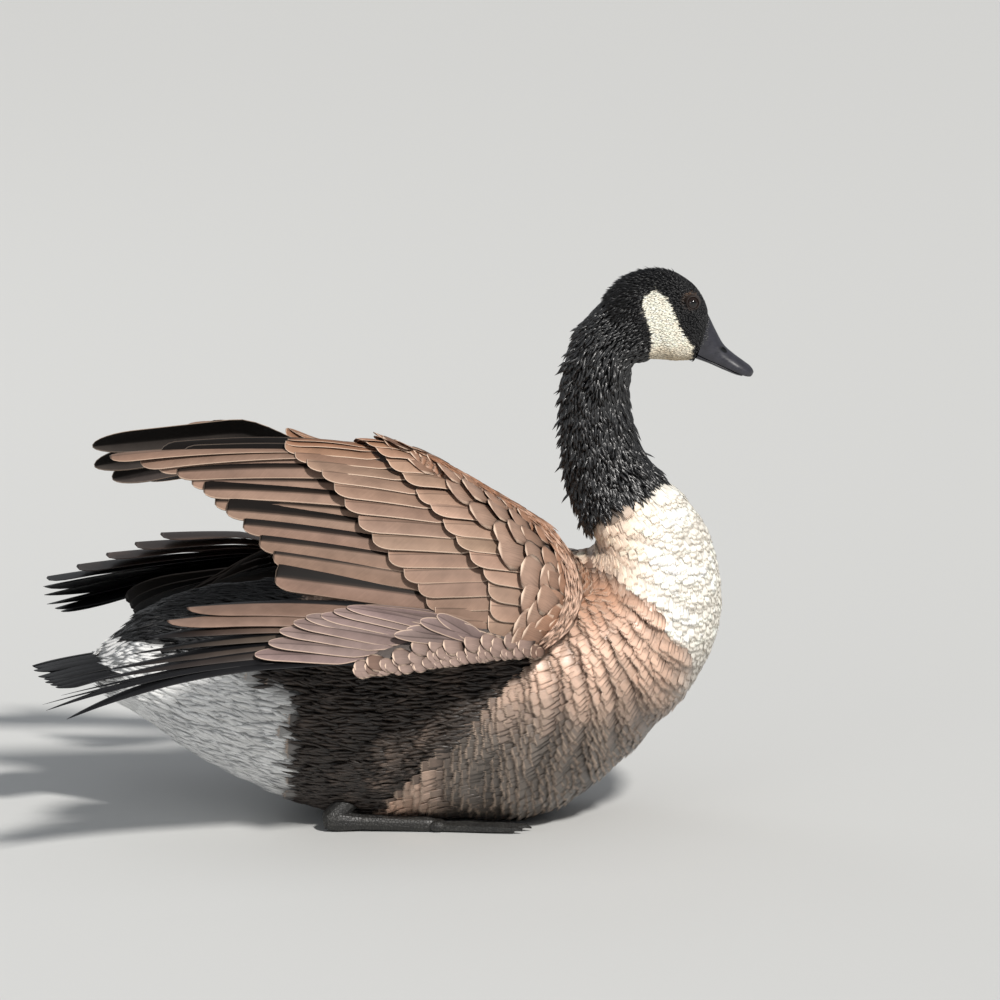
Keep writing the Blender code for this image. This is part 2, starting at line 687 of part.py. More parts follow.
def tail_feather(share):
    """Root, tip and side of a tail feather, at -1 for the right edge of the fan to 1 for the left."""
    angle = share * TAIL_SPREAD
    hidden = TAIL_LENGTH * TAIL_HIDDEN_SHARE
    pivot = np.array(TAIL_ROOT) + (hidden, 0, hidden * TAIL_DROOP)
    forward = unit((-math.cos(angle), math.sin(angle), -TAIL_DROOP))
    layer = np.array([0, 0, -TAIL_LAYER * abs(share) * TAIL_FEATHERS.count / 2])
    length = TAIL_LENGTH * (1 - TAIL_ROUNDING * abs(share))
    side = unit(np.cross(forward, (0, 0, 1))) * (1 if share < 0 else -1)
    return pivot + forward * hidden + layer, pivot + forward * length + layer, side


def build_tail(torso):
    """A fan of tail feathers, the middle pair on top, rooted in a low block behind the torso."""
    back = np.array([-1.0, 0.0, -0.2]) * TAIL_BLOCK_STEP
    stops = [np.array(TAIL_ROOT) + back * (i - 0.5) for i in range(len(TAIL_BLOCK_RADII))]
    block = tube("tail", stops, TAIL_BLOCK_RADII, "black_plumage", 14, TAIL_BLOCK_FLATNESS)
    up = np.array([0.0, 0.0, 1.0])
    vanes = []
    for i in range(TAIL_FEATHERS.count):
        root, tip, side = tail_feather(2 * i / (TAIL_FEATHERS.count - 1) - 1)
        vanes.append(vane(root, tip, side, up, TAIL_FEATHERS.outer_width, TAIL_FEATHERS, right_place))
    boolean(block, "UNION", vanes)
    boolean(block, "DIFFERENCE", [grown_copy(torso, GAP)])
    return keep_largest(block)


def build_leg(label, side, torso):
    """A leg folded under the bird: the shin comes down from the flank, the tarsus lies along the floor and
    the closed toes point forward beside the belly."""
    heel = np.array(HEEL) * (1, side, 1)
    shin_path = [heel + np.array(offset) * (1, -side, 1) for offset in SHIN_PATH]
    shin = tube("leg_" + label, shin_path, SHIN_RADII, "leg_skin", 12)
    ankle = heel + (TARSUS_LENGTH, side * 0.001, -0.003)
    tarsus_path = [heel + (ankle - heel) * share for share, _ in TARSUS]
    tarsus = tube("tarsus", tarsus_path, [radius for _, radius in TARSUS], "leg_skin", 12)
    boolean(shin, "UNION", [tarsus])
    boolean(shin, "DIFFERENCE", [floor_block(), grown_copy(torso, GAP)])
    keep_largest(shin)
    build_foot(label, side, ankle, shin)


def build_foot(label, side, ankle, leg):
    """Three front toes with the web folded between them, the small hind toe and their claws."""
    ball = ankle + (0.002, 0, -0.0005)
    foot = ellipsoid("foot_" + label, ball, FOOT_BALL, "leg_skin", 10, 6)
    start = np.array([ankle[0] - 0.002, ankle[1], TOE_HEIGHT])
    pieces, ends = [], []
    for degrees, length_share in zip(TOE_SPREAD, TOE_LENGTHS):
        angle = math.radians(degrees)
        toe = np.array([math.cos(angle), math.sin(angle) * side, 0]) * MIDDLE_TOE_LENGTH * length_share
        stops = [start + toe * share for share, _ in TOE]
        pieces.append(tube("toe", stops, [radius for _, radius in TOE], "leg_skin", 6))
        claw = [start + toe * share + (0, 0, rise) for share, rise, _ in CLAW]
        pieces.append(tube("claw", claw, [radius for *_, radius in CLAW], "leg_skin", 5))
        ends.append(start + toe * WEB_SHARE)
    for first, second in zip(ends, ends[1:]):
        pieces.append(web(start, first, second))
    hind = [ankle + np.array(offset) * (1, side, 1) for offset in HIND_TOE_PATH]
    pieces.append(tube("hind_toe", hind, HIND_TOE_RADII, "leg_skin", 5))
    boolean(foot, "UNION", pieces)
    boolean(foot, "DIFFERENCE", [floor_block(), grown_copy(leg, GAP)])
    keep_largest(foot)


def web(start, first, second):
    """The skin between two closed toes: a thin plate with one fold."""
    fold = (first + second) / 2 + (-0.012, 0, 0.0016)
    rim = [start + (0, 0, -0.0010), first + (0, 0, -0.0012), fold, second + (0, 0, -0.0012)]
    points = [p + (0, 0, WEB_THICKNESS / 2) for p in rim] + [p - (0, 0, WEB_THICKNESS / 2) for p in rim]
    faces = [(0, 1, 2), (0, 2, 3), (4, 6, 5), (4, 7, 6)]
    for a in range(4):
        b = (a + 1) % 4
        faces += [(b, a, a + 4), (b, a + 4, b + 4)]
    return new_object("web", points, facing_out(points, faces), "leg_skin")


def floor_block():
    """Everything under the floor, to give what rests there its flats."""
    corners = [(x, y, z) for x in (-0.5, 0.5) for y in (-0.4, 0.4) for z in (-0.1, 0.0)]
    faces = [(0, 1, 3, 2), (4, 6, 7, 5), (0, 4, 5, 1), (2, 3, 7, 6), (0, 2, 6, 4), (1, 5, 7, 3)]
    return new_object("floor_block", corners, faces, "leg_skin")


def main():
    clear_scene()
    torso, head = build_trunk()
    build_eyes_and_lids(head)
    build_bill()
    wing("wing_right", PRIMARY_TIPS, right_place, torso)
    wing("wing_left", LEFT_PRIMARY_TIPS, left_place, torso)
    build_tail(torso)
    build_leg("right", -1, torso)
    build_leg("left", 1, torso)
    boolean(torso, "DIFFERENCE", [floor_block()])
    keep_largest(torso)
    for obj in bpy.context.scene.objects:
        obj.data.shade_smooth()
        obj.data.set_sharp_from_angle(angle=math.radians(40))


main()
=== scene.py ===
# %% [markdown]
# # A life-size Canada goose
# The bird sits as it does on water, with both wings half lifted. The solids from CAD give its true outline.
# Here they get a skin, a coat of feathers as real mesh, a horn bill, eyes, and the light of a studio.
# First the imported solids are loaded. Everything below is in metres, in the same frame as the solids.

# %% Load the solids
import json
import math
from collections import namedtuple

import bmesh
import bpy
import numpy as np
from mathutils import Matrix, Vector

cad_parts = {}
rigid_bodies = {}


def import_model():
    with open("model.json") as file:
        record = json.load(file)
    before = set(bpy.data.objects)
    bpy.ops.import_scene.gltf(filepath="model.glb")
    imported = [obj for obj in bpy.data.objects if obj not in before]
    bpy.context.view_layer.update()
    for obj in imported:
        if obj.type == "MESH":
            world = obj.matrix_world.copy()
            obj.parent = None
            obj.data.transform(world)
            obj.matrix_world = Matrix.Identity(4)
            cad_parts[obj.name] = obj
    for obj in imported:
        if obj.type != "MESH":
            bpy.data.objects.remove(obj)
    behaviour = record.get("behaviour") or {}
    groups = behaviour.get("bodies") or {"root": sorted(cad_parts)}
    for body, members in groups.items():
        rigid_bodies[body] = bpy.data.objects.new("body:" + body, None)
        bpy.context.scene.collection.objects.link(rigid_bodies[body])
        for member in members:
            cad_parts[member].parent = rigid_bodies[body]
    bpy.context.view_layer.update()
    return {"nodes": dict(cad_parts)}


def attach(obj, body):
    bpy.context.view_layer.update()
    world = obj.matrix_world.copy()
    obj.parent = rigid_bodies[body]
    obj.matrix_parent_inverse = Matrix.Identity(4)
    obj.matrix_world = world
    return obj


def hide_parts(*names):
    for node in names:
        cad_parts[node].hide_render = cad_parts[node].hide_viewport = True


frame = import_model()
MM = 0.001
FLOOR = 0.3 * MM

# %% [markdown]
# ## Smooth curves
# A body is drawn from a few stations. A Catmull-Rom curve goes through each of them, so a station is a place
# on the bird and not a handle beside it. The function takes many shares of the way at once, which is fast.


# %% Curves and small sums
def unit(vectors):
    """The same directions, each one long."""
    vectors = np.asarray(vectors, float)
    length = np.linalg.norm(vectors, axis=-1, keepdims=True)
    return vectors / np.maximum(length, 1e-12)


def smooth_step(low, high, value):
    """0 below low, 1 above high, and a soft rise between."""
    share = np.clip((value - low) / (high - low), 0.0, 1.0)
    return share * share * (3 - 2 * share)


def mix(first, second, share):
    share = np.asarray(share)[..., None]
    return np.asarray(first) * (1 - share) + np.asarray(second) * share


def spline(controls, share):
    """Values at shares, 0 to 1, of a curve. Controls are one list for all, or one for each share."""
    controls, share = np.asarray(controls, float), np.atleast_1d(share)
    if controls.ndim == 2:
        controls = np.repeat(controls[:, None, :], len(share), axis=1)
    count, each = len(controls), np.arange(len(share))
    place = np.clip(share, 0, 1) * (count - 1)
    i = np.minimum(place.astype(int), count - 2)
    t = (place - i)[:, None]
    first, last = controls[i, each], controls[i + 1, each]
    before = np.where((i > 0)[:, None], controls[np.maximum(i - 1, 0), each], 2 * first - last)
    after_i = np.minimum(i + 2, count - 1)
    after = np.where((i + 2 < count)[:, None], controls[after_i, each], 2 * last - first)
    slope = (last - before) * t
    bend = (2 * before - 5 * first + 4 * last - after) * t**2
    return 0.5 * (2 * first + slope + bend + (3 * first - before - 3 * last + after) * t**3)


# %% [markdown]
# ## Colours
# A colour picker gives sRGB values, and a shader works with linear light. One function turns a hex value into
# linear numbers. The plumage colours below are the dry feather's own colour, so they are darker than the
# photograph, where the sun lights them.


# %% Colours of the bird
def linear(hex_colour):
    """Linear red, green and blue of an sRGB hex value."""
    srgb = np.array([int(hex_colour[i : i + 2], 16) for i in (1, 3, 5)]) / 255
    return np.where(srgb <= 0.04045, srgb / 12.92, ((srgb + 0.055) / 1.055) ** 2.4)


BLACK = linear("#0f0f12")
CHEEK_WHITE = linear("#fff8e6")
BREAST_WHITE = linear("#f6f1e6")
CREAM = linear("#ecd3bd")
TAN = linear("#d0ad97")
# grey tan of the soaked feathers low on the body, darkened as painted shade as well
SOAKED_AND_SHADED_TAN = linear("#5f5750")
# dark brown of the thigh, painted darker as the shade under the wing
THIGH_IN_PAINTED_SHADE = linear("#39302a")
RUMP_BLACK = linear("#121214")
VENT_WHITE = linear("#e9e9e8")
MANTLE = linear("#8a6d5b")
COVERT_BROWN = linear("#9d8170")
RUFOUS = linear("#9b6e52")
OUTER_WEB = linear("#866e61")
INNER_WEB = linear("#15110f")
PRIMARY_BLACK = linear("#141416")
PRIMARY_GREY = linear("#55483f")
PRIMARY_COVERT_GREY = linear("#7b6a66")
PALE_EDGE = linear("#e3c8b2")
UNDERWING = linear("#5b534f")
LID = linear("#231a16")
LID_FEATHER = linear("#806450")
# dim cream for the cheek's lower edge: painted shade of its underside
CHEEK_PAINTED_SHADE = linear("#cdbb9d")
print("plumage colours ready")

# %% [markdown]
# ## The trunk's outline
# Torso, neck and head are one smooth loft. Each station gives the back, the breast or belly opposite it, the
# half width, and how far the widest place lies below half height. These are the same stations as in the
# solids, so skin and solids share one outline.

# %% Stations of the trunk
HALF_BODY = 117 * MM
HALF_NECK = 27 * MM
HALF_HEAD = 23.5 * MM
TORSO = [
    (-0.272, 0.144, -0.276, 0.106, 0.16, 0.00),
    (-0.262, 0.153, -0.268, 0.093, 0.29, 0.00),
    (-0.238, 0.172, -0.240, 0.074, 0.43, 0.00),
    (-0.200, 0.186, -0.200, 0.046, 0.57, 0.02),
    (-0.150, 0.193, -0.152, 0.022, 0.73, 0.03),
    (-0.100, 0.197, -0.105, 0.005, 0.86, 0.04),
    (-0.050, 0.203, -0.056, -0.002, 0.95, 0.05),
    (0.000, 0.208, 0.000, -0.002, 1.00, 0.05),
    (0.045, 0.213, 0.055, -0.002, 1.00, 0.04),
    (0.080, 0.216, 0.100, 0.014, 0.975, 0.02),
    (0.100, 0.218, 0.140, 0.046, 0.92, 0.00),
    (0.108, 0.220, 0.172, 0.079, 0.84, 0.00),
    (0.111, 0.222, 0.198, 0.108, 0.76, 0.00),
    (0.112, 0.225, 0.214, 0.140, 0.69, 0.00),
    (0.112, 0.229, 0.220, 0.174, 0.62, 0.00),
    (0.109, 0.234, 0.216, 0.208, 0.545, 0.00),
]
NECK = [
    (0.104, 0.243, 0.204, 0.240, 2.00, 0.00),
    (0.098, 0.257, 0.184, 0.266, 1.58, 0.00),
    (0.093, 0.277, 0.166, 0.283, 1.28, 0.00),
    (0.090, 0.303, 0.152, 0.304, 1.10, 0.00),
    (0.089, 0.335, 0.145, 0.333, 1.02, 0.00),
    (0.092, 0.363, 0.145, 0.354, 0.98, 0.00),
]
HEAD = [
    (0.102, 0.394, 0.149, 0.367, 1.04, 0.00),
    (0.120, 0.417, 0.158, 0.370, 1.02, 0.00),
    (0.140, 0.437, 0.169, 0.370, 1.00, 0.02),
    (0.160, 0.4445, 0.180, 0.3695, 1.00, 0.05),
    (0.179, 0.4420, 0.187, 0.3700, 0.94, 0.08),
    (0.194, 0.4330, 0.193, 0.3705, 0.84, 0.10),
    (0.203, 0.4195, 0.1955, 0.3710, 0.71, 0.06),
    (0.2070, 0.4064, 0.1963, 0.3716, 0.58, 0.00),
]
STATIONS = [(*s[:4], s[4] * HALF_BODY, s[5]) for s in TORSO]
STATIONS += [(*s[:4], s[4] * HALF_NECK, s[5]) for s in NECK]
STATIONS += [(*s[:4], s[4] * HALF_HEAD, s[5]) for s in HEAD]
LAST = len(STATIONS) - 1


def trunk_at(u, turn):
    """Points of the outline at station u, turned round it: 0 is the back, pi the belly."""
    back_x, back_z, belly_x, belly_z, half, low = spline(STATIONS, np.asarray(u) / LAST).T
    back = np.stack([back_x, 0 * half, back_z], -1)
    belly = np.stack([belly_x, 0 * half, belly_z], -1)
    point = (back + belly) / 2 + (back - belly) / 2 * np.cos(turn)[:, None]
    point[:, 1] += half * np.sin(turn) * (1 - low * np.cos(turn))
    return point


def trunk_frame(u, turn):
    """Point, outward direction and the feathers' lie, which runs from the bill to the tail."""
    step = 0.02
    ahead = trunk_at(np.minimum(u + step, LAST), turn) - trunk_at(np.maximum(u - step, 0), turn)
    across = trunk_at(u, turn + step) - trunk_at(u, turn - step)
    return trunk_at(u, turn), unit(np.cross(ahead, across)), -unit(ahead)


# How deep the skin lies under the outline, at some stations
SKIN_DEPTH_AT = [0, 3, 13, 17, 21, 24, 27, 29]
SKIN_DEPTH = np.array([2.0, 5.0, 5.0, 3.6, 3.4, 1.8, 1.0, 0.5]) * MM
print("stations:", len(STATIONS))

# %% [markdown]
# ## Markings
# A goose's markings follow its side view: black neck, white cheek, pale breast that turns tan towards the
# flank, dark thighs, black rump and white vent. Some of it is painted shade: the thigh and the body under the
# wing are painted very dark as the wing's shade, the low breast and flank are soaked and painted darker as the
# shade of the side turned down, and the cheek's lower edge is painted dimmer. They are written once, as soft
# edges on the shape itself, and both the skin and every feather ask the same function for their colour. The
# height used here leans a little with the width, as the bird is seen from slightly above.

# %% Markings of the trunk
CHEEK_OUTLINE = [(659, 289), (671, 299), (676, 313), (682, 329), (689, 340), (695, 350), (694, 358)]
CHEEK_OUTLINE += [(684, 372), (652, 372), (651, 358), (654, 347), (652, 330), (647, 316), (643, 304), (646, 294)]
PROFILE_ORIGIN = (450, 815)
PROFILE_STEP = (0.8 * MM, 0.815 * MM)
LEAN = 0.1944


def profile_place(points):
    """Where a point stands in the side view: its length along the bird and its leaning height."""
    return points[:, 0], points[:, 2] - LEAN * np.abs(points[:, 1])


def from_profile(corner):
    x = (corner[0] - PROFILE_ORIGIN[0]) * PROFILE_STEP[0]
    return x, (PROFILE_ORIGIN[1] - corner[1]) * PROFILE_STEP[1]


def signed_depth(x, h, outline):
    """How far inside a closed outline a place of the side view lies: below 0 outside."""
    corners = np.array([from_profile(c) for c in outline])
    nearest = np.full(len(x), 1e9)
    inside = np.zeros(len(x), bool)
    for (x0, h0), (x1, h1) in zip(corners, np.roll(corners, -1, 0)):
        along = np.clip(((x - x0) * (x1 - x0) + (h - h0) * (h1 - h0)) / ((x1 - x0) ** 2 + (h1 - h0) ** 2), 0, 1)
        nearest = np.minimum(nearest, np.hypot(x - x0 - along * (x1 - x0), h - h0 - along * (h1 - h0)))
        crosses = (h0 > h) != (h1 > h)
        slope = (x1 - x0) / (h1 - h0 if h1 != h0 else 1e-9)
        inside ^= crosses & (x < x0 + (h - h0) * slope)
    return np.where(inside, nearest, -nearest)


def height_over(x, h, first, last):
    """Height over the straight line between two places of the side view, given in profile steps."""
    (x0, h0), (x1, h1) = from_profile(first), from_profile(last)
    return h - h0 - (x - x0) * (h1 - h0) / (x1 - x0)


def soft(distance, width):
    """1 well over an edge, 0 well under it."""
    return smooth_step(-width, width, distance)


def patchy(points, size, seed):
    """Soft random patches between -1 and 1 of about the given size, the same for skin and coat."""
    waves = np.random.default_rng(seed)
    total = np.zeros(len(points))
    for _ in range(7):
        direction = unit(waves.normal(size=3)) * 2 * math.pi / (size * waves.uniform(0.7, 1.6))
        total += np.sin(points @ direction + waves.uniform(0, 2 * math.pi))
    return np.clip(total / 3, -1, 1)


def trunk_tint(points, u, turn):
    """The plumage's colour at places of the trunk."""
    x, h = profile_place(points)
    rough = patchy(points, 14 * MM, 3) * 2.5 * MM
    tint = np.repeat(TAN[None], len(points), axis=0)
    # breast: white in front, cream towards the shoulder, tan under a slanting edge
    white = soft(x - 0.148 + rough, 26 * MM)
    pale = mix(CREAM, BREAST_WHITE, white)
    edge = np.maximum(height_over(x, h, (583, 556), (655, 590)), height_over(x, h, (655, 590), (702, 650)))
    edge = np.where(x > 0.196, np.maximum(edge, x - 0.203), edge)
    tint = mix(tint, pale, soft(edge + rough, 6 * MM))
    # low on the breast and flank the feathers are soaked and greyer, and painted darker as the shade of the side
    # turned down
    low = 1 - smooth_step(0.060, 0.135 + 0.25 * np.maximum(x - 0.09, 0), h + 3 * rough)
    tint = mix(tint, SOAKED_AND_SHADED_TAN, low * smooth_step(-0.04, 0.02, x))
    shoulder = np.hypot(x - from_profile((590, 565))[0], h - from_profile((590, 565))[1])
    tint = mix(tint, RUFOUS, 0.72 * (1 - smooth_step(0.015, 0.068, shoulder + 2 * rough)) * soft(-edge, 8 * MM))
    # at the front, low on the breast, the same grey is mixed in: soaked feathers and painted shade
    front = smooth_step(0.180, 0.205, x) * (1 - smooth_step(0.10, 0.17, h))
    tint = mix(tint, mix(SOAKED_AND_SHADED_TAN, BREAST_WHITE, 0.55), front * 0.8)
    # thigh and the body under the wing: dark brown with paler waves, painted very dark as the shade under the wing
    thigh = 1 - soft(x - np.minimum(0.012 + 0.95 * (h - 0.055), 0.092) + rough, 4 * MM)
    waves = patchy(points * (1.0, 0.4, 0.25), 9 * MM, 6)
    dark = mix(THIGH_IN_PAINTED_SHADE, THIGH_IN_PAINTED_SHADE * 2.3, smooth_step(0.1, 1.0, waves) * smooth_step(-0.16, -0.03, x))
    tint = mix(tint, dark, thigh * soft(0.215 - points[:, 2], 10 * MM))
    # vent and upper tail coverts are white, the rump and the sides above them black
    vent_edge = np.maximum(height_over(x, h, (240, 668), (300, 697)), (x - from_profile((300, 697))[0]) * 1.4)
    vent = soft(-vent_edge + rough * 1.6, 7 * MM) * soft(0.128 - h, 4 * MM)
    rump = soft(-(x + 0.105) - 2.5 * rough, 8 * MM) * soft(h - 0.120, 5 * MM)
    tint = mix(tint, RUMP_BLACK, rump)
    tint = mix(tint, VENT_WHITE, vent)
    coverts = np.minimum(-(x + 0.222), height_over(x, h, (100, 628), (150, 640)) * -1)
    tint = mix(tint, VENT_WHITE, soft(coverts, 3 * MM))
    # the mantle between the wings
    back = soft(h - 0.168, 8 * MM) * soft(x + 0.105 + 2.5 * rough, 8 * MM) * soft(14.6 - u, 0.5)
    tint = mix(tint, MANTLE, back * (1 - soft(x - 0.088, 6 * MM)))
    # neck and head
    neck = soft(height_over(x, h, (580, 526), (662, 473)) + rough, 1.2 * MM) * (u > 14)
    tint = mix(tint, BLACK, neck)
    cheek = signed_depth(x, h, CHEEK_OUTLINE) + patchy(points, 5 * MM, 4) * 0.5 * MM
    # the cheek's lower edge is painted dimmer, a painted shade of its underside
    white = mix(CHEEK_PAINTED_SHADE, CHEEK_WHITE, smooth_step(0.365, 0.385, h + rough))
    tint = mix(tint, white, soft(cheek, 0.5 * MM) * (u > 22))
    # tiny brown feathers round the lids, painted stronger above and in front as a painted highlight of the wet rim
    for side in (-1, 1):
        radius, _, height = eye_distance(points, side)
        _, _, forward, up = eye_axes(side)
        ahead = unit(points - eye_axes(side)[0]) @ unit(forward + up)
        ring = np.exp(-(((radius - 6.6 * MM) / (1.0 * MM)) ** 2)) * (height > -3 * MM) * (0.45 + 0.45 * ahead)
        tint = mix(tint, LID_FEATHER, ring * (0.6 + 0.8 * patchy(points, 1.2 * MM, 11)).clip(0, 1))
    return tint


print("markings ready")

# %% [markdown]
# ## The eye's place
# The eye sits deep in the head, and the lids are part of the skin. They are sculpted: the skin near the eye is
# moved onto a sphere a little larger than the eyeball, with a rounded rim, and inside the rim it dives behind
# the eye. That needs a finer mesh there, so those faces are subdivided first.

# %% Lids
EYE_PLACE = (0.193, 0.0120, 0.4195)
EYE_RADIUS = 6.4 * MM
EYE_OPENING = (4.5 * MM, 4.9 * MM)
LID_THICKNESS = 0.55 * MM


def eye_axes(side):
    """Centre of an eye and the directions outward, forward and up at it."""
    centre = np.array(EYE_PLACE) * (1, side, 1)
    outward = unit((0.22, side, 0.10))
    forward = unit(np.cross(outward, (0, 0, 1))) * side
    return centre, outward, forward, unit(np.cross(outward, forward)) * -side


def eye_distance(points, side):
    """Distance from the eye's axis, as metres and as a share of the opening, and height along the axis."""
    centre, outward, forward, up = eye_axes(side)
    away = points - centre
    a, b, height = away @ forward, away @ up, away @ outward
    return np.hypot(a, b), np.hypot(a / EYE_OPENING[0], b / EYE_OPENING[1]), height


def sculpt_lids(points):
    for side in (-1, 1):
        centre, outward, forward, up = eye_axes(side)
        radius, share, height = eye_distance(points, side)
        near = (radius < 12 * MM) & (height > -3 * MM)
        ball = np.sqrt(np.maximum((EYE_RADIUS + LID_THICKNESS) ** 2 - radius**2, 0))
        around = np.arctan2((points - centre) @ up, (points - centre) @ forward)
        rim = (0.32 + 0.12 * np.cos(around - 1.1)) * MM * np.exp(-(((share - 1.14) / 0.14) ** 2))
        wrinkle = 0.10 * MM * np.sin(share * 22 + 0.8 * np.sin(3 * around)) * smooth_step(1.10, 1.3, share)
        wrinkle += 0.09 * MM * np.sin(11 * around + 5 * share) * smooth_step(1.0, 1.15, share)
        lid = ball + rim + wrinkle
        wanted = height + (lid - height) * (1 - smooth_step(1.30, 1.95, share))
        inside = 1 - smooth_step(0.90, 1.04, share)
        wanted = wanted * (1 - inside) + (2.2 * MM) * inside
        points[near] += (wanted - height)[near, None] * outward
    return points


print("eye opening in mm:", [2 * r / MM for r in EYE_OPENING])

# %% [markdown]
# ## One skin
# The skin is a grid of rings along the trunk, closer together on the small head. It lies under the outline by
# the coat's depth. Each point keeps its station and turn, the grid laid flat: the length of the bird one way
# and the way round it the other.


# %% Mesh helpers
def mesh_object(name, points, faces, material=None):
    mesh = bpy.data.meshes.new(name)
    mesh.from_pydata(np.asarray(points, float).tolist(), [], faces)
    if material:
        mesh.materials.append(material)
    obj = bpy.data.objects.new(name, mesh)
    bpy.context.scene.collection.objects.link(obj)
    return obj


def store(mesh, name, kind, values, domain="POINT"):
    """Puts an array of numbers on the mesh as a named attribute."""
    layer = mesh.attributes.new(name, kind, domain)
    field = {"FLOAT": "value", "INT": "value", "FLOAT_COLOR": "color", "FLOAT_VECTOR": "vector", "FLOAT2": "vector"}
    values = np.asarray(values, np.int32 if kind == "INT" else np.float32)
    if kind == "FLOAT_COLOR":
        values = np.concatenate([values, np.ones((len(values), 1), np.float32)], axis=1)
    layer.data.foreach_set(field[kind], values.ravel())


def places_of(obj):
    flat = np.empty(len(obj.data.vertices) * 3, np.float32)
    obj.data.vertices.foreach_get("co", flat)
    return flat.reshape(-1, 3).astype(float)


def store_map(mesh, per_point):
    """The OFBake map of a mesh, from one place of the unwrap for each of its points."""
    layer = mesh.uv_layers.new(name="OFBake")
    corners = np.empty(len(mesh.loops), np.int32)
    mesh.loops.foreach_get("vertex_index", corners)
    layer.uv.foreach_set("vector", np.asarray(per_point, np.float32)[corners].ravel())


def tube_faces(rings, around):
    """Faces round a stack of rings, with a fan at each end. The two end points come last."""
    faces = []
    for i in range(rings - 1):
        for j in range(around):
            k = (j + 1) % around
            faces.append((i * around + j, i * around + k, (i + 1) * around + k, (i + 1) * around + j))
    start, end, last = rings * around, rings * around + 1, (rings - 1) * around
    for j in range(around):
        k = (j + 1) % around
        faces.append((start, k, j))
        faces.append((end, last + j, last + k))
    return faces


def face_outwards(obj):
    """Turns a closed mesh the right way round if its volume comes out below 0."""
    work = bmesh.new()
    work.from_mesh(obj.data)
    if work.calc_volume(signed=True) < 0:
        bmesh.ops.reverse_faces(work, faces=work.faces)
    work.to_mesh(obj.data)
    work.free()


def station_steps(start, end, gap):
    """Stations so far apart that rings keep about the given gap, which may change along the trunk."""
    fine = np.linspace(start, end, 3000)
    runs = [trunk_at(fine, np.full(len(fine), turn)) for turn in (0.0, math.pi / 2, math.pi)]
    step = np.max([np.linalg.norm(np.diff(run, axis=0), axis=1) for run in runs], axis=0)
    count = np.concatenate([[0], np.cumsum(step / gap((fine[1:] + fine[:-1]) / 2))])
    return np.interp(np.linspace(0, count[-1], max(int(count[-1]), 2)), count, fine)


# %% Skin of the trunk
AROUND = 132


def build_trunk_skin():
    gap = lambda u: np.interp(u, [0, 15, 18, 22, 24], [5 * MM, 5 * MM, 3 * MM, 2 * MM, 1.2 * MM])
    stops = station_steps(0, LAST, gap)
    turns = np.linspace(0, 2 * math.pi, AROUND, endpoint=False)
    u, turn = [g.ravel() for g in np.meshgrid(stops, turns, indexing="ij")]
    outline, normal, _ = trunk_frame(u, turn)
    points = outline - normal * np.interp(u, SKIN_DEPTH_AT, SKIN_DEPTH)[:, None]
    ends = np.array([points[:AROUND].mean(0), points[-AROUND:].mean(0)])
    points = np.concatenate([points, ends])
    points[:, 2] = np.maximum(points[:, 2], FLOOR + 1.5 * MM)
    u = np.concatenate([u, [0, LAST]])
    turn = np.concatenate([turn, [0, 0]])
    skin = mesh_object("skin", points, tube_faces(len(stops), AROUND))
    store(skin.data, "station", "FLOAT", u)
    store(skin.data, "turn", "FLOAT", turn)
    face_outwards(skin)
    return skin


def refine_near_eyes(obj, cuts=3):
    work = bmesh.new()
    work.from_mesh(obj.data)
    places = np.array([v.co for v in work.verts])
    near = np.zeros(len(places), bool)
    for side in (-1, 1):
        radius, _, height = eye_distance(places, side)
        near |= (radius < 10.5 * MM) & (height > -4 * MM)
    edges = [e for e in work.edges if near[e.verts[0].index] and near[e.verts[1].index]]
    bmesh.ops.subdivide_edges(work, edges=edges, cuts=cuts, use_grid_fill=True)
    bmesh.ops.triangulate(work, faces=[f for f in work.faces if len(f.verts) > 4])
    work.to_mesh(obj.data)
    work.free()


skin = build_trunk_skin()
refine_near_eyes(skin)
skin.data.vertices.foreach_set("co", sculpt_lids(places_of(skin)).astype(np.float32).ravel())
print("trunk skin:", len(skin.data.vertices), "points")

# %% [markdown]
# ## The wings' nets
# Each wing's flesh is a net of named places: rows from the wrist up to the elbow, columns from the leading
# edge back to the tips of the greater coverts. The hand has a net of its own. The left wing is the mirror
# image, carried lower at the elbow.

# %% Nets of the arm and hand
ARM_NET = [
    [(0.078, -0.118, 0.158), (0.058, -0.132, 0.163), (0.028, -0.140, 0.172), (-0.008, -0.144, 0.186)],
    [(0.101, -0.106, 0.180), (0.072, -0.126, 0.200), (0.030, -0.136, 0.214), (-0.027, -0.140, 0.215)],
    [(0.104, -0.080, 0.214), (0.062, -0.110, 0.238), (0.004, -0.126, 0.249), (-0.067, -0.132, 0.254)],
    [(0.074, -0.052, 0.251), (0.024, -0.086, 0.275), (-0.028, -0.106, 0.282), (-0.101, -0.108, 0.293)],
    [(-0.008, -0.052, 0.300), (-0.032, -0.066, 0.308), (-0.062, -0.084, 0.312), (-0.131, -0.082, 0.311)],
    [(-0.020, -0.044, 0.304), (-0.044, -0.052, 0.312), (-0.075, -0.066, 0.314), (-0.127, -0.070, 0.313)],
]
HAND_NET = [
    [(0.078, -0.124, 0.158), (0.068, -0.130, 0.170), (0.058, -0.132, 0.182)],
    [(0.034, -0.158, 0.160), (0.024, -0.155, 0.174), (0.014, -0.148, 0.185)],
    [(-0.010, -0.182, 0.160), (-0.022, -0.178, 0.172), (-0.032, -0.170, 0.181)],
    [(-0.061, -0.206, 0.158), (-0.068, -0.203, 0.165), (-0.079, -0.196, 0.170)],
]
UPPER_ARM = [
    (0.098, -0.050, 0.176, 0.030),
    (0.078, -0.062, 0.205, 0.028),
    (0.038, -0.068, 0.246, 0.020),
    (-0.008, -0.070, 0.282, 0.013),
    (-0.040, -0.074, 0.302, 0.008),
]
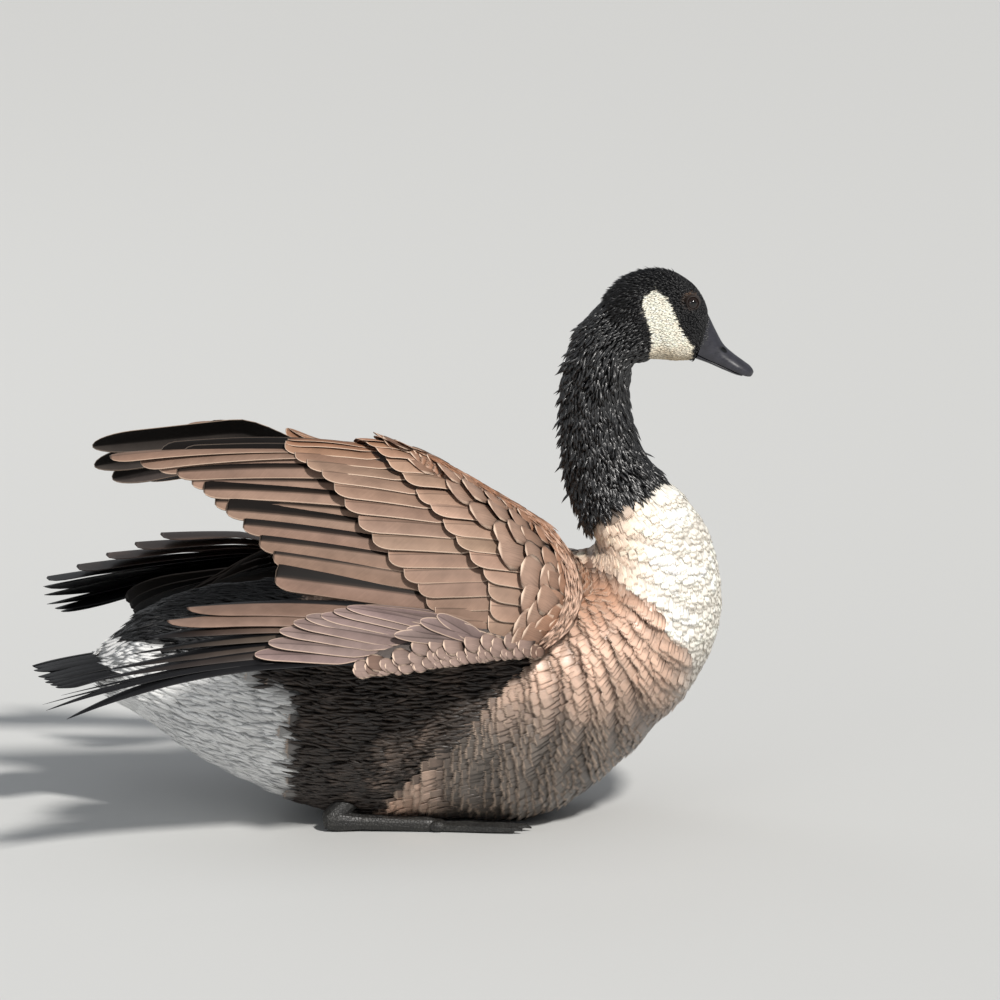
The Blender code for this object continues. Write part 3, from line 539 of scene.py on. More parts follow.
ARM_THICKNESS = [(0.010,), (0.014,), (0.011,), (0.006,)]
HAND_THICKNESS = [(0.010,), (0.011,), (0.007,)]
UPPER_SIDE = np.array([0.0, -0.7, 0.7])
LEFT_ELBOW_DROP = 0.030


def net_at(net, row, column):
    """Points of the smooth surface through a net."""
    return spline(np.array([spline(line, column) for line in net]), row)


def net_frame(net, row, column):
    """Point, outward direction and the way back from the leading edge."""
    step = 0.01
    down = net_at(net, np.minimum(row + step, 1), column) - net_at(net, np.maximum(row - step, 0), column)
    back = net_at(net, row, np.minimum(column + step, 1)) - net_at(net, row, np.maximum(column - step, 0))
    normal = unit(np.cross(down, back))
    normal *= np.where(normal @ UPPER_SIDE > 0, 1, -1)[:, None]
    return net_at(net, row, column), normal, unit(back)


def right_place(points):
    return np.asarray(points, float)


def left_place(points):
    """The mirrored places of points of the right wing, lower near the elbow."""
    points = np.array(points, float)
    forward = smooth_step(-0.175, -0.095, points[..., 0])
    high = smooth_step(0.165, 0.225, points[..., 2])
    points[..., 1] *= -1
    points[..., 2] -= LEFT_ELBOW_DROP * forward * high
    return points


print("arm from wrist to elbow:", round(float(np.linalg.norm(np.subtract(ARM_NET[0][1], ARM_NET[4][1]))), 3), "m")


# %% Flesh of the wings, joined to the skin
def pad_mesh(name, net, thickness, column_end, inset, place, rows=22, columns=14):
    """A closed pad whose upper side follows the net."""
    row, share = [g.ravel() for g in np.meshgrid(np.linspace(0, 1, rows), np.linspace(0, 1, columns), indexing="ij")]
    point, normal, _ = net_frame(net, row, share * column_end)
    depth = spline(thickness, share)
    rim = np.minimum(np.minimum(row, 1 - row) * 8, np.minimum(share, 1 - share) * 6)
    full = np.sqrt(np.clip(rim, 0.02, 1))[:, None]
    middle = point - normal * (depth / 2 + inset * 0.5)
    half = normal * np.maximum(depth / 2 - inset * 0.5, 0.0012) * full
    upper, lower = place(middle + half), place(middle - half)
    faces = []
    for i in range(rows - 1):
        for j in range(columns - 1):
            a, b, c, d = i * columns + j, i * columns + j + 1, (i + 1) * columns + j + 1, (i + 1) * columns + j
            faces += [(a, b, c, d), tuple(v + rows * columns for v in (d, c, b, a))]
    border = [(i, 0) for i in range(rows)] + [(rows - 1, j) for j in range(1, columns)]
    border += [(i, columns - 1) for i in range(rows - 2, -1, -1)] + [(0, j) for j in range(columns - 2, 0, -1)]
    loop = [i * columns + j for i, j in border]
    faces += [(b, a, a + rows * columns, b + rows * columns) for a, b in zip(loop, loop[1:] + loop[:1])]
    pad = mesh_object(name, np.concatenate([upper, lower]), faces)
    work = bmesh.new()
    work.from_mesh(pad.data)
    bmesh.ops.recalc_face_normals(work, faces=work.faces)
    work.to_mesh(pad.data)
    work.free()
    face_outwards(pad)
    return pad


def limb_mesh(name, path, place, inset, rings=14, around=20):
    """A round limb through stops of place and radius."""
    stops = spline(path, np.linspace(0, 1, rings))
    axis, radius = stops[:, :3], np.maximum(stops[:, 3] - inset, 2 * MM)
    forward = unit(np.gradient(axis, axis=0))
    side = unit(np.cross(forward, (0, 1, 0)))
    rise = np.cross(side, forward)
    turn = np.linspace(0, 2 * math.pi, around, endpoint=False)
    ring = np.cos(turn)[None, :, None] * side[:, None] + np.sin(turn)[None, :, None] * rise[:, None]
    points = (axis[:, None] + ring * radius[:, None, None]).reshape(-1, 3)
    ends = np.array([axis[0], axis[-1]])
    limb = mesh_object(name, place(np.concatenate([points, ends])), tube_faces(rings, around))
    face_outwards(limb)
    return limb


def applied(obj):
    """The object's mesh with its modifiers worked in and removed."""
    graph = bpy.context.evaluated_depsgraph_get()
    mesh = bpy.data.meshes.new_from_object(obj.evaluated_get(graph))
    obj.modifiers.clear()
    old, obj.data = obj.data, mesh
    bpy.data.meshes.remove(old)
    return obj


def join_flesh(target, others):
    collection = bpy.data.collections.new("flesh")
    bpy.context.scene.collection.children.link(collection)
    for other in others:
        bpy.context.scene.collection.objects.unlink(other)
        collection.objects.link(other)
    modifier = target.modifiers.new("join", "BOOLEAN")
    modifier.operation, modifier.operand_type, modifier.solver = "UNION", "COLLECTION", "EXACT"
    modifier.collection = collection
    applied(target)
    for other in list(collection.objects):
        bpy.data.objects.remove(other, do_unlink=True)
    bpy.data.collections.remove(collection)


flesh = []
for label, place in (("right", right_place), ("left", left_place)):
    flesh.append(pad_mesh("arm_" + label, ARM_NET, ARM_THICKNESS, 0.80, 2.5 * MM, place))
    flesh.append(pad_mesh("hand_" + label, HAND_NET, HAND_THICKNESS, 1.0, 2.0 * MM, place, 16, 9))
    flesh.append(limb_mesh("upper_arm_" + label, UPPER_ARM, place, 4 * MM))
join_flesh(skin, flesh)
print("skin with wings:", len(skin.data.polygons), "faces,", [a.name for a in skin.data.attributes])

# %% [markdown]
# ## Camera and light
# The photograph was taken from far away with a long lens, from a little above. The same angle and framing are
# kept here. The light is a large soft lamp high on the bird's front right, a wide weak one from the camera's
# side, and a pale room.

# %% Camera, floor and lamps
VIEW_TARGET = Vector((0.040, 0.0, 0.2567))
VIEW_HEIGHT = math.radians(11)
VIEW_DISTANCE = 15.0


def look_at(obj, place, target):
    obj.location = place
    obj.rotation_euler = (Vector(target) - Vector(place)).to_track_quat("-Z", "Y").to_euler()


def linked(name, data):
    obj = bpy.data.objects.new(name, data)
    bpy.context.scene.collection.objects.link(obj)
    return obj


camera = linked("camera", bpy.data.cameras.new("camera"))
camera.data.sensor_width, camera.data.lens = 36, 675
camera.data.clip_end = 60
offset = Vector((0, -math.cos(VIEW_HEIGHT), math.sin(VIEW_HEIGHT))) * VIEW_DISTANCE
look_at(camera, VIEW_TARGET + offset, VIEW_TARGET)
bpy.context.scene.camera = camera


def lamp(name, place, size, power, colour=(1, 1, 1)):
    data = bpy.data.lights.new(name, "AREA")
    data.shape, data.size, data.energy, data.color = "DISK", size, power, colour
    obj = linked(name, data)
    look_at(obj, place, (0.02, 0.0, 0.18))
    return obj


key = bpy.data.lights.new("key", "SUN")
key.energy, key.angle, key.color = 3.7, math.radians(6), (1.0, 0.965, 0.92)
look_at(linked("key", key), (1.05, -2.0, 2.15), (0.02, 0.0, 0.18))
lamp("fill", (-1.2, -2.4, 1.0), 1.0, 5, (0.94, 0.97, 1.0))
lamp("back", (-1.6, 2.2, 2.0), 1.6, 8, (0.96, 0.98, 1.0))
world = bpy.data.worlds.new("room")
bpy.context.scene.world = world
world.use_nodes = True
room = world.node_tree.nodes["Background"]
room.inputs["Color"].default_value = (0.86, 0.89, 0.93, 1)
room.inputs["Strength"].default_value = 0.36
bpy.context.scene.view_settings.view_transform = "Standard"

floor = mesh_object("floor", [(-9, -9, 0), (9, -9, 0), (9, 9, 0), (-9, 9, 0)], [(0, 1, 2, 3)])
print("camera at", tuple(round(v, 2) for v in camera.location))

# %% [markdown]
# ## Materials
# A feather is keratin: dull where it is dry, shiny where it is wet, with fine parallel barbs. Its material
# reads two things stored on the mesh: the tint, which carries the markings, and the vane, which says where on
# its feather a point lies. One function adds a node with its settings and its links.


# %% Node helper and plumage materials
def add(tree, kind, inputs=(), **settings):
    """A new node of a tree, with its settings, and each input a value or another node's output."""
    node = tree.nodes.new(kind)
    for key, value in settings.items():
        setattr(node, key, value)
    for key, value in dict(inputs).items():
        if isinstance(value, bpy.types.NodeSocket):
            tree.links.new(value, node.inputs[key])
        else:
            node.inputs[key].default_value = value
    return node


def new_material(name, roughness, **sockets):
    made = bpy.data.materials.new(name)
    made.use_nodes = True
    shader = made.node_tree.nodes["Principled BSDF"]
    shader.inputs["Roughness"].default_value = roughness
    for key, value in sockets.items():
        shader.inputs[key.replace("_", " ")].default_value = value
    return made, made.node_tree, shader


def coat_material(name, roughness, barb_strength, root_painted_shade, coat_weight=0.0, side_rim=0.0, **sockets):
    """Small feathers and tufts: painted darker at the root as the shade under the next row, streaked along, pale at
    the tip where the tuft says so.
    """
    made, tree, shader = new_material(name, roughness, **sockets)
    shader.inputs["Coat Weight"].default_value = coat_weight
    shader.inputs["Coat Roughness"].default_value = 0.25
    tint = add(tree, "ShaderNodeAttribute", attribute_name="tint").outputs["Color"]
    vane = add(tree, "ShaderNodeAttribute", attribute_name="vane").outputs["Vector"]
    edge = add(tree, "ShaderNodeAttribute", attribute_name="edge").outputs["Fac"]
    parts = add(tree, "ShaderNodeSeparateXYZ", {"Vector": vane}).outputs
    # barbs run along the tuft, 0.3 mm apart on the bird, drawn at about 1 mm
    stretch = add(tree, "ShaderNodeVectorMath", {0: vane, 1: (9.0, 1.3, 31.0)}, operation="MULTIPLY")
    streaks = add(tree, "ShaderNodeTexNoise", {"Vector": stretch.outputs[0], "Scale": 1.0, "Detail": 3.0})
    level = add(tree, "ShaderNodeMapRange", {"Value": streaks.outputs["Fac"], 1: 0.3, 2: 0.7, 3: 0.78, 4: 1.2})
    # painted shade: a tuft's root, covered by the row over it, is painted darker
    base = add(tree, "ShaderNodeMapRange", {"Value": parts["Y"], 1: 0.30, 2: 0.66, 3: root_painted_shade, 4: 1.0})
    shade = add(tree, "ShaderNodeMath", {0: level.outputs[0], 1: base.outputs[0]}, operation="MULTIPLY")
    dark = add(tree, "ShaderNodeVectorMath", {0: tint, "Scale": shade.outputs[0]}, operation="SCALE")
    tip = add(tree, "ShaderNodeMapRange", {"Value": parts["Y"], 1: 0.87, 2: 0.95}).outputs[0]
    aside = add(tree, "ShaderNodeMath", {0: parts["X"]}, operation="ABSOLUTE").outputs[0]
    side = add(tree, "ShaderNodeMapRange", {"Value": aside, 1: 0.38, 2: 0.46, 4: side_rim}).outputs[0]
    tip = add(tree, "ShaderNodeMath", {0: tip, 1: side}, operation="MAXIMUM").outputs[0]
    share = add(tree, "ShaderNodeMath", {0: tip, 1: edge}, operation="MULTIPLY")
    colour = add(
        tree,
        "ShaderNodeMix",
        {"Factor": share.outputs[0], 6: dark.outputs[0], 7: (*PALE_EDGE, 1)},
        data_type="RGBA",
    )
    tree.links.new(colour.outputs[2], shader.inputs["Base Color"])
    bump = add(
        tree, "ShaderNodeBump", {"Height": streaks.outputs["Fac"], "Strength": barb_strength, "Distance": 0.4 * MM}
    )
    tree.links.new(bump.outputs[0], shader.inputs["Normal"])
    return made


wet_black = coat_material("wet_black_plumage", 0.32, 0.5, 0.40, coat_weight=0.6, Specular_IOR_Level=0.7)
velvet_black = coat_material("velvet_black_plumage", 0.42, 0.5, 0.40, coat_weight=0.25, Specular_IOR_Level=0.4)
wet_tan = coat_material("wet_tan_plumage", 0.45, 0.6, 0.45, coat_weight=0.2)
white_breast = coat_material("white_breast_plumage", 0.6, 0.4, 0.78)
soft_white = coat_material("soft_white_plumage", 0.7, 0.4, 0.88)
dry_covert = coat_material("dry_covert_plumage", 0.58, 0.4, 0.7, side_rim=0.9)
print("plumage materials:", len(bpy.data.materials))


# %% Flight feather material
def vane_material(name, roughness, shine):
    """A stiff vane: barbs slant forward from the shaft, the rim is pale and worn, the shaft a fine ridge."""
    made, tree, shader = new_material(name, roughness, Specular_IOR_Level=shine)
    tint = add(tree, "ShaderNodeAttribute", attribute_name="tint").outputs["Color"]
    vane = add(tree, "ShaderNodeAttribute", attribute_name="vane").outputs["Vector"]
    edge = add(tree, "ShaderNodeAttribute", attribute_name="edge").outputs["Fac"]
    parts = add(tree, "ShaderNodeSeparateXYZ", {"Vector": vane}).outputs
    out = add(tree, "ShaderNodeMath", {0: parts["X"]}, operation="ABSOLUTE").outputs[0]
    slant = add(tree, "ShaderNodeMath", {0: out, 1: -1.1, 2: parts["Y"]}, operation="MULTIPLY_ADD").outputs[0]
    # one barb every 0.4 mm on the bird, drawn at 1.1 mm
    across = add(tree, "ShaderNodeMath", {0: slant, 1: 1 / (1.1 * MM)}, operation="MULTIPLY").outputs[0]
    along = add(tree, "ShaderNodeMath", {0: parts["X"], 1: 1 / (14 * MM)}, operation="MULTIPLY").outputs[0]
    barbs_at = add(tree, "ShaderNodeCombineXYZ", {0: across, 1: along}).outputs[0]
    barbs = add(tree, "ShaderNodeTexNoise", {"Vector": barbs_at, "Scale": 1.0, "Detail": 2.0}).outputs["Fac"]
    place = add(tree, "ShaderNodeTexCoord").outputs["Object"]
    cloud = add(tree, "ShaderNodeTexNoise", {"Vector": place, "Scale": 1 / (16 * MM), "Detail": 3.0}).outputs["Fac"]
    fine = add(tree, "ShaderNodeMapRange", {"Value": barbs, 1: 0.3, 2: 0.7, 3: 0.94, 4: 1.06}).outputs[0]
    broad = add(tree, "ShaderNodeMapRange", {"Value": cloud, 1: 0.3, 2: 0.7, 3: 0.86, 4: 1.14}).outputs[0]
    level = add(tree, "ShaderNodeMath", {0: fine, 1: broad}, operation="MULTIPLY").outputs[0]
    shaft = add(tree, "ShaderNodeMapRange", {"Value": out, 1: 0.35 * MM, 2: 0.75 * MM, 3: 0.62, 4: 1.0}).outputs[0]
    level = add(tree, "ShaderNodeMath", {0: level, 1: shaft}, operation="MULTIPLY").outputs[0]
    # the vane is worn paler towards its rim
    worn = add(tree, "ShaderNodeMapRange", {"Value": parts["Z"], 1: 1 * MM, 2: 7 * MM, 3: 1.14, 4: 0.92}).outputs[0]
    level = add(tree, "ShaderNodeMath", {0: level, 1: worn}, operation="MULTIPLY").outputs[0]
    body = add(tree, "ShaderNodeVectorMath", {0: tint, "Scale": level}, operation="SCALE").outputs[0]
    rim = add(tree, "ShaderNodeMapRange", {"Value": parts["Z"], 1: 0.5 * MM, 2: 1.2 * MM, 3: 1.0, 4: 0.0}).outputs[0]
    share = add(tree, "ShaderNodeMath", {0: rim, 1: edge}, operation="MULTIPLY").outputs[0]
    colour = add(tree, "ShaderNodeMix", {"Factor": share, 6: body, 7: (*PALE_EDGE, 1)}, data_type="RGBA")
    tree.links.new(colour.outputs[2], shader.inputs["Base Color"])
    bump = add(tree, "ShaderNodeBump", {"Height": barbs, "Strength": 0.22, "Distance": 0.25 * MM})
    tree.links.new(bump.outputs[0], shader.inputs["Normal"])
    return made


flight_vane = vane_material("brown_flight_vane", 0.55, 0.12)
black_vane = vane_material("black_flight_vane", 0.42, 0.22)
print("vane materials:", flight_vane.name, black_vane.name)

# %% [markdown]
# ## Tufts
# Four shapes make the whole coat. A wet lock is a pointed clump, thick in the middle. A comb is a small broad
# feather whose barbs have stuck together into teeth at the tip, as wet feathers do. A scale is a dry rounded
# covert. A nap is the short velvet of the face. Each is one closed mesh, one long and one wide, and is
# scaled when it is set on the skin.


# %% Tuft shapes
TUFT_THICKNESS = 0.25


def tuft_object(name, points, faces, collection):
    """A tuft in a collection of its own, with its shape's own coordinates kept as the vane."""
    obj = mesh_object(name, points, faces)
    bpy.context.scene.collection.objects.unlink(obj)
    collection.objects.link(obj)
    face_outwards(obj)
    store(obj.data, "vane", "FLOAT_VECTOR", np.asarray(points, float))
    return obj


def lock_shape(stations, lean, fork):
    """A pointed clump: at each stop the edges, the ridge and the keel, then the tip."""
    points, faces = [], []
    for along, half, height in stations:
        middle = lean * along**2
        points += [(middle - half, along, 0), (middle, along, height)]
        points += [(middle + half, along, 0), (middle, along, -0.3 * height)]
    tip = len(points)
    points.append((lean + fork, 1.0, 0.05))
    for i in range(len(stations) - 1):
        for j in range(4):
            a, b = i * 4 + j, i * 4 + (j + 1) % 4
            faces.append((a, b, b + 4, a + 4))
    last = (len(stations) - 1) * 4
    faces += [(last + j, last + (j + 1) % 4, tip) for j in range(4)]
    faces.append((3, 2, 1, 0))
    return points, faces


def comb_shape(teeth, tooth, rounding, seed):
    """A broad feather from one root point, arched across, with teeth along its tip."""
    draw = np.random.default_rng(seed)
    x = np.linspace(-0.5, 0.5, teeth + 1)
    arch = 1 - (2 * x) ** 2
    edge = 0.88 - rounding * (2 * x) ** 2
    points = [(0, 0, 0)]
    points += [(0.86 * a, 0.42 * (0.8 + 0.2 * r), 0.75 * r) for a, r in zip(x, arch)]
    points += [(a, e, r) for a, e, r in zip(x, edge, arch)]
    points += [(a, e, r - TUFT_THICKNESS) for a, e, r in zip(x, edge, arch)]
    middle, top, under = 1, teeth + 2, 2 * teeth + 3
    tips = len(points)
    for j in range(teeth):
        reach = tooth * draw.uniform(0.6, 1.4)
        across = (x[j] + x[j + 1]) / 2 * 0.9 + draw.uniform(-0.04, 0.04)
        points.append((across, (edge[j] + edge[j + 1]) / 2 + reach, (arch[j] + arch[j + 1]) / 2 - 0.12))
    faces = []
    for j in range(teeth):
        faces.append((0, middle + j + 1, middle + j))
        faces.append((middle + j, middle + j + 1, top + j + 1, top + j))
        faces.append((0, under + j, under + j + 1))
        faces += [(top + j, top + j + 1, tips + j), (under + j + 1, under + j, tips + j)]
        faces += [(under + j, top + j, tips + j), (top + j + 1, under + j + 1, tips + j)]
    faces.append((0, middle, top, under))
    faces.append((0, under + teeth, top + teeth, middle + teeth))
    return points, faces


def scale_shape(seed):
    """A dry rounded covert: a shallow closed lens."""
    draw = np.random.default_rng(seed)
    columns = np.linspace(-1, 1, 7)
    rows = [(0.0, 0.20), (0.3, 0.42), (0.52, 0.5), (0.68, 0.49), (0.82, 0.41), (0.93, 0.26), (1.0, 0.06)]
    count = len(columns)
    upper = []
    for along, half in rows:
        half *= 1 + draw.uniform(-0.03, 0.03)
        upper += [(c * half, along - 0.02 * c * c, 1 - (c * half * 2) ** 2 * 1.1) for c in columns]
    border = [i * count + j for i in range(len(rows)) for j in range(count)]
    border = {k for k in border if k % count in (0, count - 1) or k // count in (0, len(rows) - 1)}
    lower_of, points = {}, list(upper)
    for k, (a, b, c) in enumerate(upper):
        lower_of[k] = k if k in border else len(points)
        if k not in border:
            points.append((a, b, c - TUFT_THICKNESS))
    faces = []
    for i in range(len(rows) - 1):
        for j in range(count - 1):
            quad = (i * count + j, i * count + j + 1, (i + 1) * count + j + 1, (i + 1) * count + j)
            faces += [quad, tuple(lower_of[k] for k in reversed(quad))]
    return points, faces


def tuft_set(name, shapes):
    collection = bpy.data.collections.new(name)
    for i, (points, faces) in enumerate(shapes):
        tuft_object(f"{name}_{i}", points, faces, collection)
    return collection


LOCK_STOPS = [(0.0, 0.30, 0.35), (0.34, 0.50, 1.0), (0.70, 0.34, 0.8)]
NAP_STOPS = [(0.0, 0.40, 0.5), (0.5, 0.48, 1.0)]
locks = tuft_set("lock", [lock_shape(LOCK_STOPS, lean, fork) for lean, fork in ((0, 0.1), (0.25, 0), (-0.25, 0))])
naps = tuft_set("nap", [lock_shape(NAP_STOPS, lean, 0.0) for lean in (-0.1, 0.1)])
combs = tuft_set("comb", [comb_shape(7, 0.17, 0.035, s) for s in (1, 2, 3, 4)])
scales = tuft_set("scale", [scale_shape(s) for s in (1, 2, 3)])

# %% [markdown]
# ## The coat as one tree of geometry nodes
# A coat is thousands of tufts, each at its own root. The roots are worked out below as a cloud of points that
# carry numbers: which way is up, which way the feather lies, its size, its bend over the body and its place on
# the skin's unwrap. One tree sets a tuft on each, makes it real mesh, bends it to the body, keeps it above the
# floor and gives it its patch of the OFBake map.

# %% Coat tree
PATCH = 0.003


def attribute(tree, name, kind):
    return add(tree, "GeometryNodeInputNamedAttribute", {"Name": name}, data_type=kind).outputs[0]


def build_coat_tree():
    tree = bpy.data.node_groups.new("coat", "GeometryNodeTree")
    face = tree.interface
    face.new_socket("Roots", in_out="INPUT", socket_type="NodeSocketGeometry")
    face.new_socket("Tufts", in_out="INPUT", socket_type="NodeSocketCollection")
    face.new_socket("Floor", in_out="INPUT", socket_type="NodeSocketFloat")
    face.new_socket("Patch", in_out="INPUT", socket_type="NodeSocketFloat")
    face.new_socket("Plumage", in_out="INPUT", socket_type="NodeSocketMaterial")
    face.new_socket("Coat", in_out="OUTPUT", socket_type="NodeSocketGeometry")
    given = add(tree, "NodeGroupInput").outputs
    tufts = add(
        tree, "GeometryNodeCollectionInfo", {"Collection": given["Tufts"], "Separate Children": True}
    ).outputs[0]
    up, lie = attribute(tree, "up", "FLOAT_VECTOR"), attribute(tree, "lie", "FLOAT_VECTOR")
    turn = add(
        tree,
        "FunctionNodeAxesToRotation",
        {"Primary Axis": up, "Secondary Axis": lie},
        primary_axis="Z",
        secondary_axis="Y",
    ).outputs[0]
    planted = add(
        tree,
        "GeometryNodeInstanceOnPoints",
        {
            "Points": given["Roots"],
            "Instance": tufts,
            "Pick Instance": True,
            "Instance Index": attribute(tree, "variant", "INT"),
            "Rotation": turn,
            "Scale": attribute(tree, "size", "FLOAT_VECTOR"),
        },
    ).outputs[0]
    real = add(tree, "GeometryNodeRealizeInstances", {"Geometry": planted}).outputs[0]
    along = add(tree, "ShaderNodeSeparateXYZ", {0: attribute(tree, "vane", "FLOAT_VECTOR")}).outputs["Y"]
    square = add(tree, "ShaderNodeMath", {0: along, 1: along}, operation="MULTIPLY").outputs[0]
    droop = add(tree, "ShaderNodeMath", {0: square, 1: attribute(tree, "bend", "FLOAT")}, operation="MULTIPLY")
    drop = add(tree, "ShaderNodeVectorMath", {0: up, "Scale": droop.outputs[0]}, operation="SCALE").outputs[0]
    bent = add(tree, "GeometryNodeSetPosition", {"Geometry": real, "Offset": drop}).outputs[0]
    parts = add(tree, "ShaderNodeSeparateXYZ", {0: add(tree, "GeometryNodeInputPosition").outputs[0]}).outputs
    above = add(tree, "ShaderNodeMath", {0: parts["Z"], 1: given["Floor"]}, operation="MAXIMUM").outputs[0]
    placed = add(tree, "ShaderNodeCombineXYZ", {0: parts["X"], 1: parts["Y"], 2: above}).outputs[0]
    rested = add(tree, "GeometryNodeSetPosition", {"Geometry": bent, "Position": placed}).outputs[0]
    local = add(
        tree,
        "ShaderNodeVectorMath",
        {0: attribute(tree, "vane", "FLOAT_VECTOR"), "Scale": given["Patch"]},
        operation="SCALE",
    ).outputs[0]
    patch = add(
        tree, "ShaderNodeVectorMath", {0: attribute(tree, "unwrap", "FLOAT_VECTOR"), 1: local}, operation="ADD"
    ).outputs[0]
    mapped = add(
        tree,
        "GeometryNodeStoreNamedAttribute",
        {"Geometry": rested, "Name": "OFBake", "Value": patch},
        data_type="FLOAT2",
        domain="CORNER",
    ).outputs[0]
    dressed = add(tree, "GeometryNodeSetMaterial", {"Geometry": mapped, "Material": given["Plumage"]}).outputs[0]
    add(tree, "NodeGroupOutput", {"Coat": dressed})
    return tree


def set_inputs(modifier, **values):
    """Sets a modifier's inputs through each socket's own identifier."""
    for item in modifier.node_group.interface.items_tree:
        if item.item_type == "SOCKET" and item.in_out == "INPUT" and item.name in values:
            modifier[item.identifier] = values[item.name]


coat_tree = build_coat_tree()
print("coat tree:", len(coat_tree.nodes), "nodes")


# %% Planting a coat
Roots = namedtuple("Roots", "point up lie unwrap tint")
Form = namedtuple("Form", "length width height rise swing bend edge vary")
pieces = []


def tilted(up, lie, rise):
    """The tuft's own axes, raised from the skin by an angle."""
    rise = rise[:, None]
    return unit(up * np.cos(rise) - lie * np.sin(rise)), unit(lie * np.cos(rise) + up * np.sin(rise))


def plant(name, roots, form, tufts, material, seed, even=0.3):
    """Grows a coat piece from its roots and makes it plain mesh."""
    draw = np.random.default_rng(seed)
    count = len(roots.point)
    side = np.cross(roots.up, roots.lie)
    swing = draw.normal(0, 1, count) * form.swing
    lie = unit(roots.lie + side * swing[:, None])
    vary = lambda share: 1 + draw.uniform(-share, share, count)
    rise = np.broadcast_to(form.rise, count) * vary(even)
    up, lie = tilted(roots.up, lie, rise)
    length = np.broadcast_to(form.length, count) * vary(form.vary)
    width = np.broadcast_to(form.width, count) * vary(form.vary)
    height = np.broadcast_to(form.height, count) * vary(0.3)
    cloud = mesh_object(name, roots.point, [])
    mesh = cloud.data
    store(mesh, "up", "FLOAT_VECTOR", up)
    store(mesh, "lie", "FLOAT_VECTOR", lie)
    store(mesh, "size", "FLOAT_VECTOR", np.stack([width, length, height], -1))
    store(mesh, "bend", "FLOAT", -np.broadcast_to(form.bend, count))
    store(mesh, "variant", "INT", draw.integers(0, 1000, count))
    store(mesh, "unwrap", "FLOAT_VECTOR", np.c_[roots.unwrap, np.zeros(count)])
    tone = 1 + draw.normal(0, 0.06, count)
    store(mesh, "tint", "FLOAT_COLOR", np.clip(roots.tint * tone[:, None], 0.001, 0.95))
    store(mesh, "edge", "FLOAT", np.broadcast_to(form.edge, count) * vary(0.35))
    modifier = cloud.modifiers.new("coat", "NODES")
    modifier.node_group = coat_tree
    set_inputs(modifier, Tufts=tufts, Floor=FLOOR, Patch=PATCH, Plumage=material)
    applied(cloud)
    mesh = cloud.data
    for extra in ("up", "lie", "size", "bend", "variant", "unwrap", "id"):
        if extra in mesh.attributes:
            mesh.attributes.remove(mesh.attributes[extra])
    mesh.shade_smooth()
    pieces.append(cloud)
    triangles = sum(len(p.vertices) - 2 for p in mesh.polygons)
    print(f"{name}: {count} tufts, {triangles} triangles")
    return cloud


# %% [markdown]
# ## Rows of feathers on the trunk
# Small feathers grow in rows across the body, and wet rows show as ridges. The rows are the stations of the
# loft. They fan out from the shoulder to the breast, so every second one ends where they come too close.


# %% Roots on the trunk
def rows_of_roots(start, end, row_gap, column_gap, seed, jitter=0.25):
    """Stations and turns of roots in rows. A row is left out where its neighbours are too close."""
    draw = np.random.default_rng(seed)
    stops = station_steps(start, end, lambda u: np.full(np.shape(u), row_gap))
    circle = np.linspace(0, 2 * math.pi, 361)
    stations, turns = [], []
    for k, stop in enumerate(stops[:-1]):
        ring = trunk_at(np.full(361, stop), circle)
        ahead = trunk_at(np.full(361, stops[k + 1]), circle)
        run = np.concatenate([[0], np.cumsum(np.linalg.norm(np.diff(ring, axis=0), axis=1))])
        count = max(int(run[-1] / column_gap), 3)
        place = (np.arange(count) + 0.5 * (k % 2) + draw.uniform(-jitter, jitter, count)) / count
        turn = np.interp(place % 1.0 * run[-1], run, circle)
        spacing = np.interp(turn, circle, np.linalg.norm(ahead - ring, axis=1))
        level = (k & -k).bit_length() - 1 if k else 9
        kept = spacing * 2**level >= 0.72 * row_gap
        turns.append(turn[kept])
        shift = draw.uniform(-jitter, jitter, kept.sum()) * (stops[k + 1] - stop)
        stations.append(np.full(kept.sum(), stop) + shift)
    return np.clip(np.concatenate(stations), 0, LAST), np.concatenate(turns)


def trunk_roots(u, turn, span):
    """Roots on the skin of the trunk, with their colour and their place on its unwrap."""
    outline, up, lie = trunk_frame(u, turn)
    point = outline - up * np.interp(u, SKIN_DEPTH_AT, SKIN_DEPTH)[:, None]
    point[:, 2] = np.maximum(point[:, 2], FLOOR + 1.5 * MM)
    unwrap = np.c_[(u - span[0]) / (span[1] - span[0]) * 0.96 + 0.02, turn / (2 * math.pi) * 0.96 + 0.02]
    return Roots(point, up, lie, unwrap, trunk_tint(outline, u, turn))


def keep(roots, mask):
    return Roots(*[field[mask] for field in roots])


def away_from_eyes(points, reach):
    clear = np.ones(len(points), bool)
    for side in (-1, 1):
        radius, _, height = eye_distance(points, side)
        clear &= (radius > reach) | (height < -5 * MM)
    return clear


BILL_EDGE = [(705, 300), (710, 318), (711.5, 330), (710, 340), (705, 347), (697, 356)]


def behind_bill_edge(points):
    """How far a place of the face lies behind the line where feathers meet the horn."""
    x, h = profile_place(points)
    line = np.array([from_profile(corner) for corner in BILL_EDGE])
    return np.interp(h, line[::-1, 1], line[::-1, 0]) - x


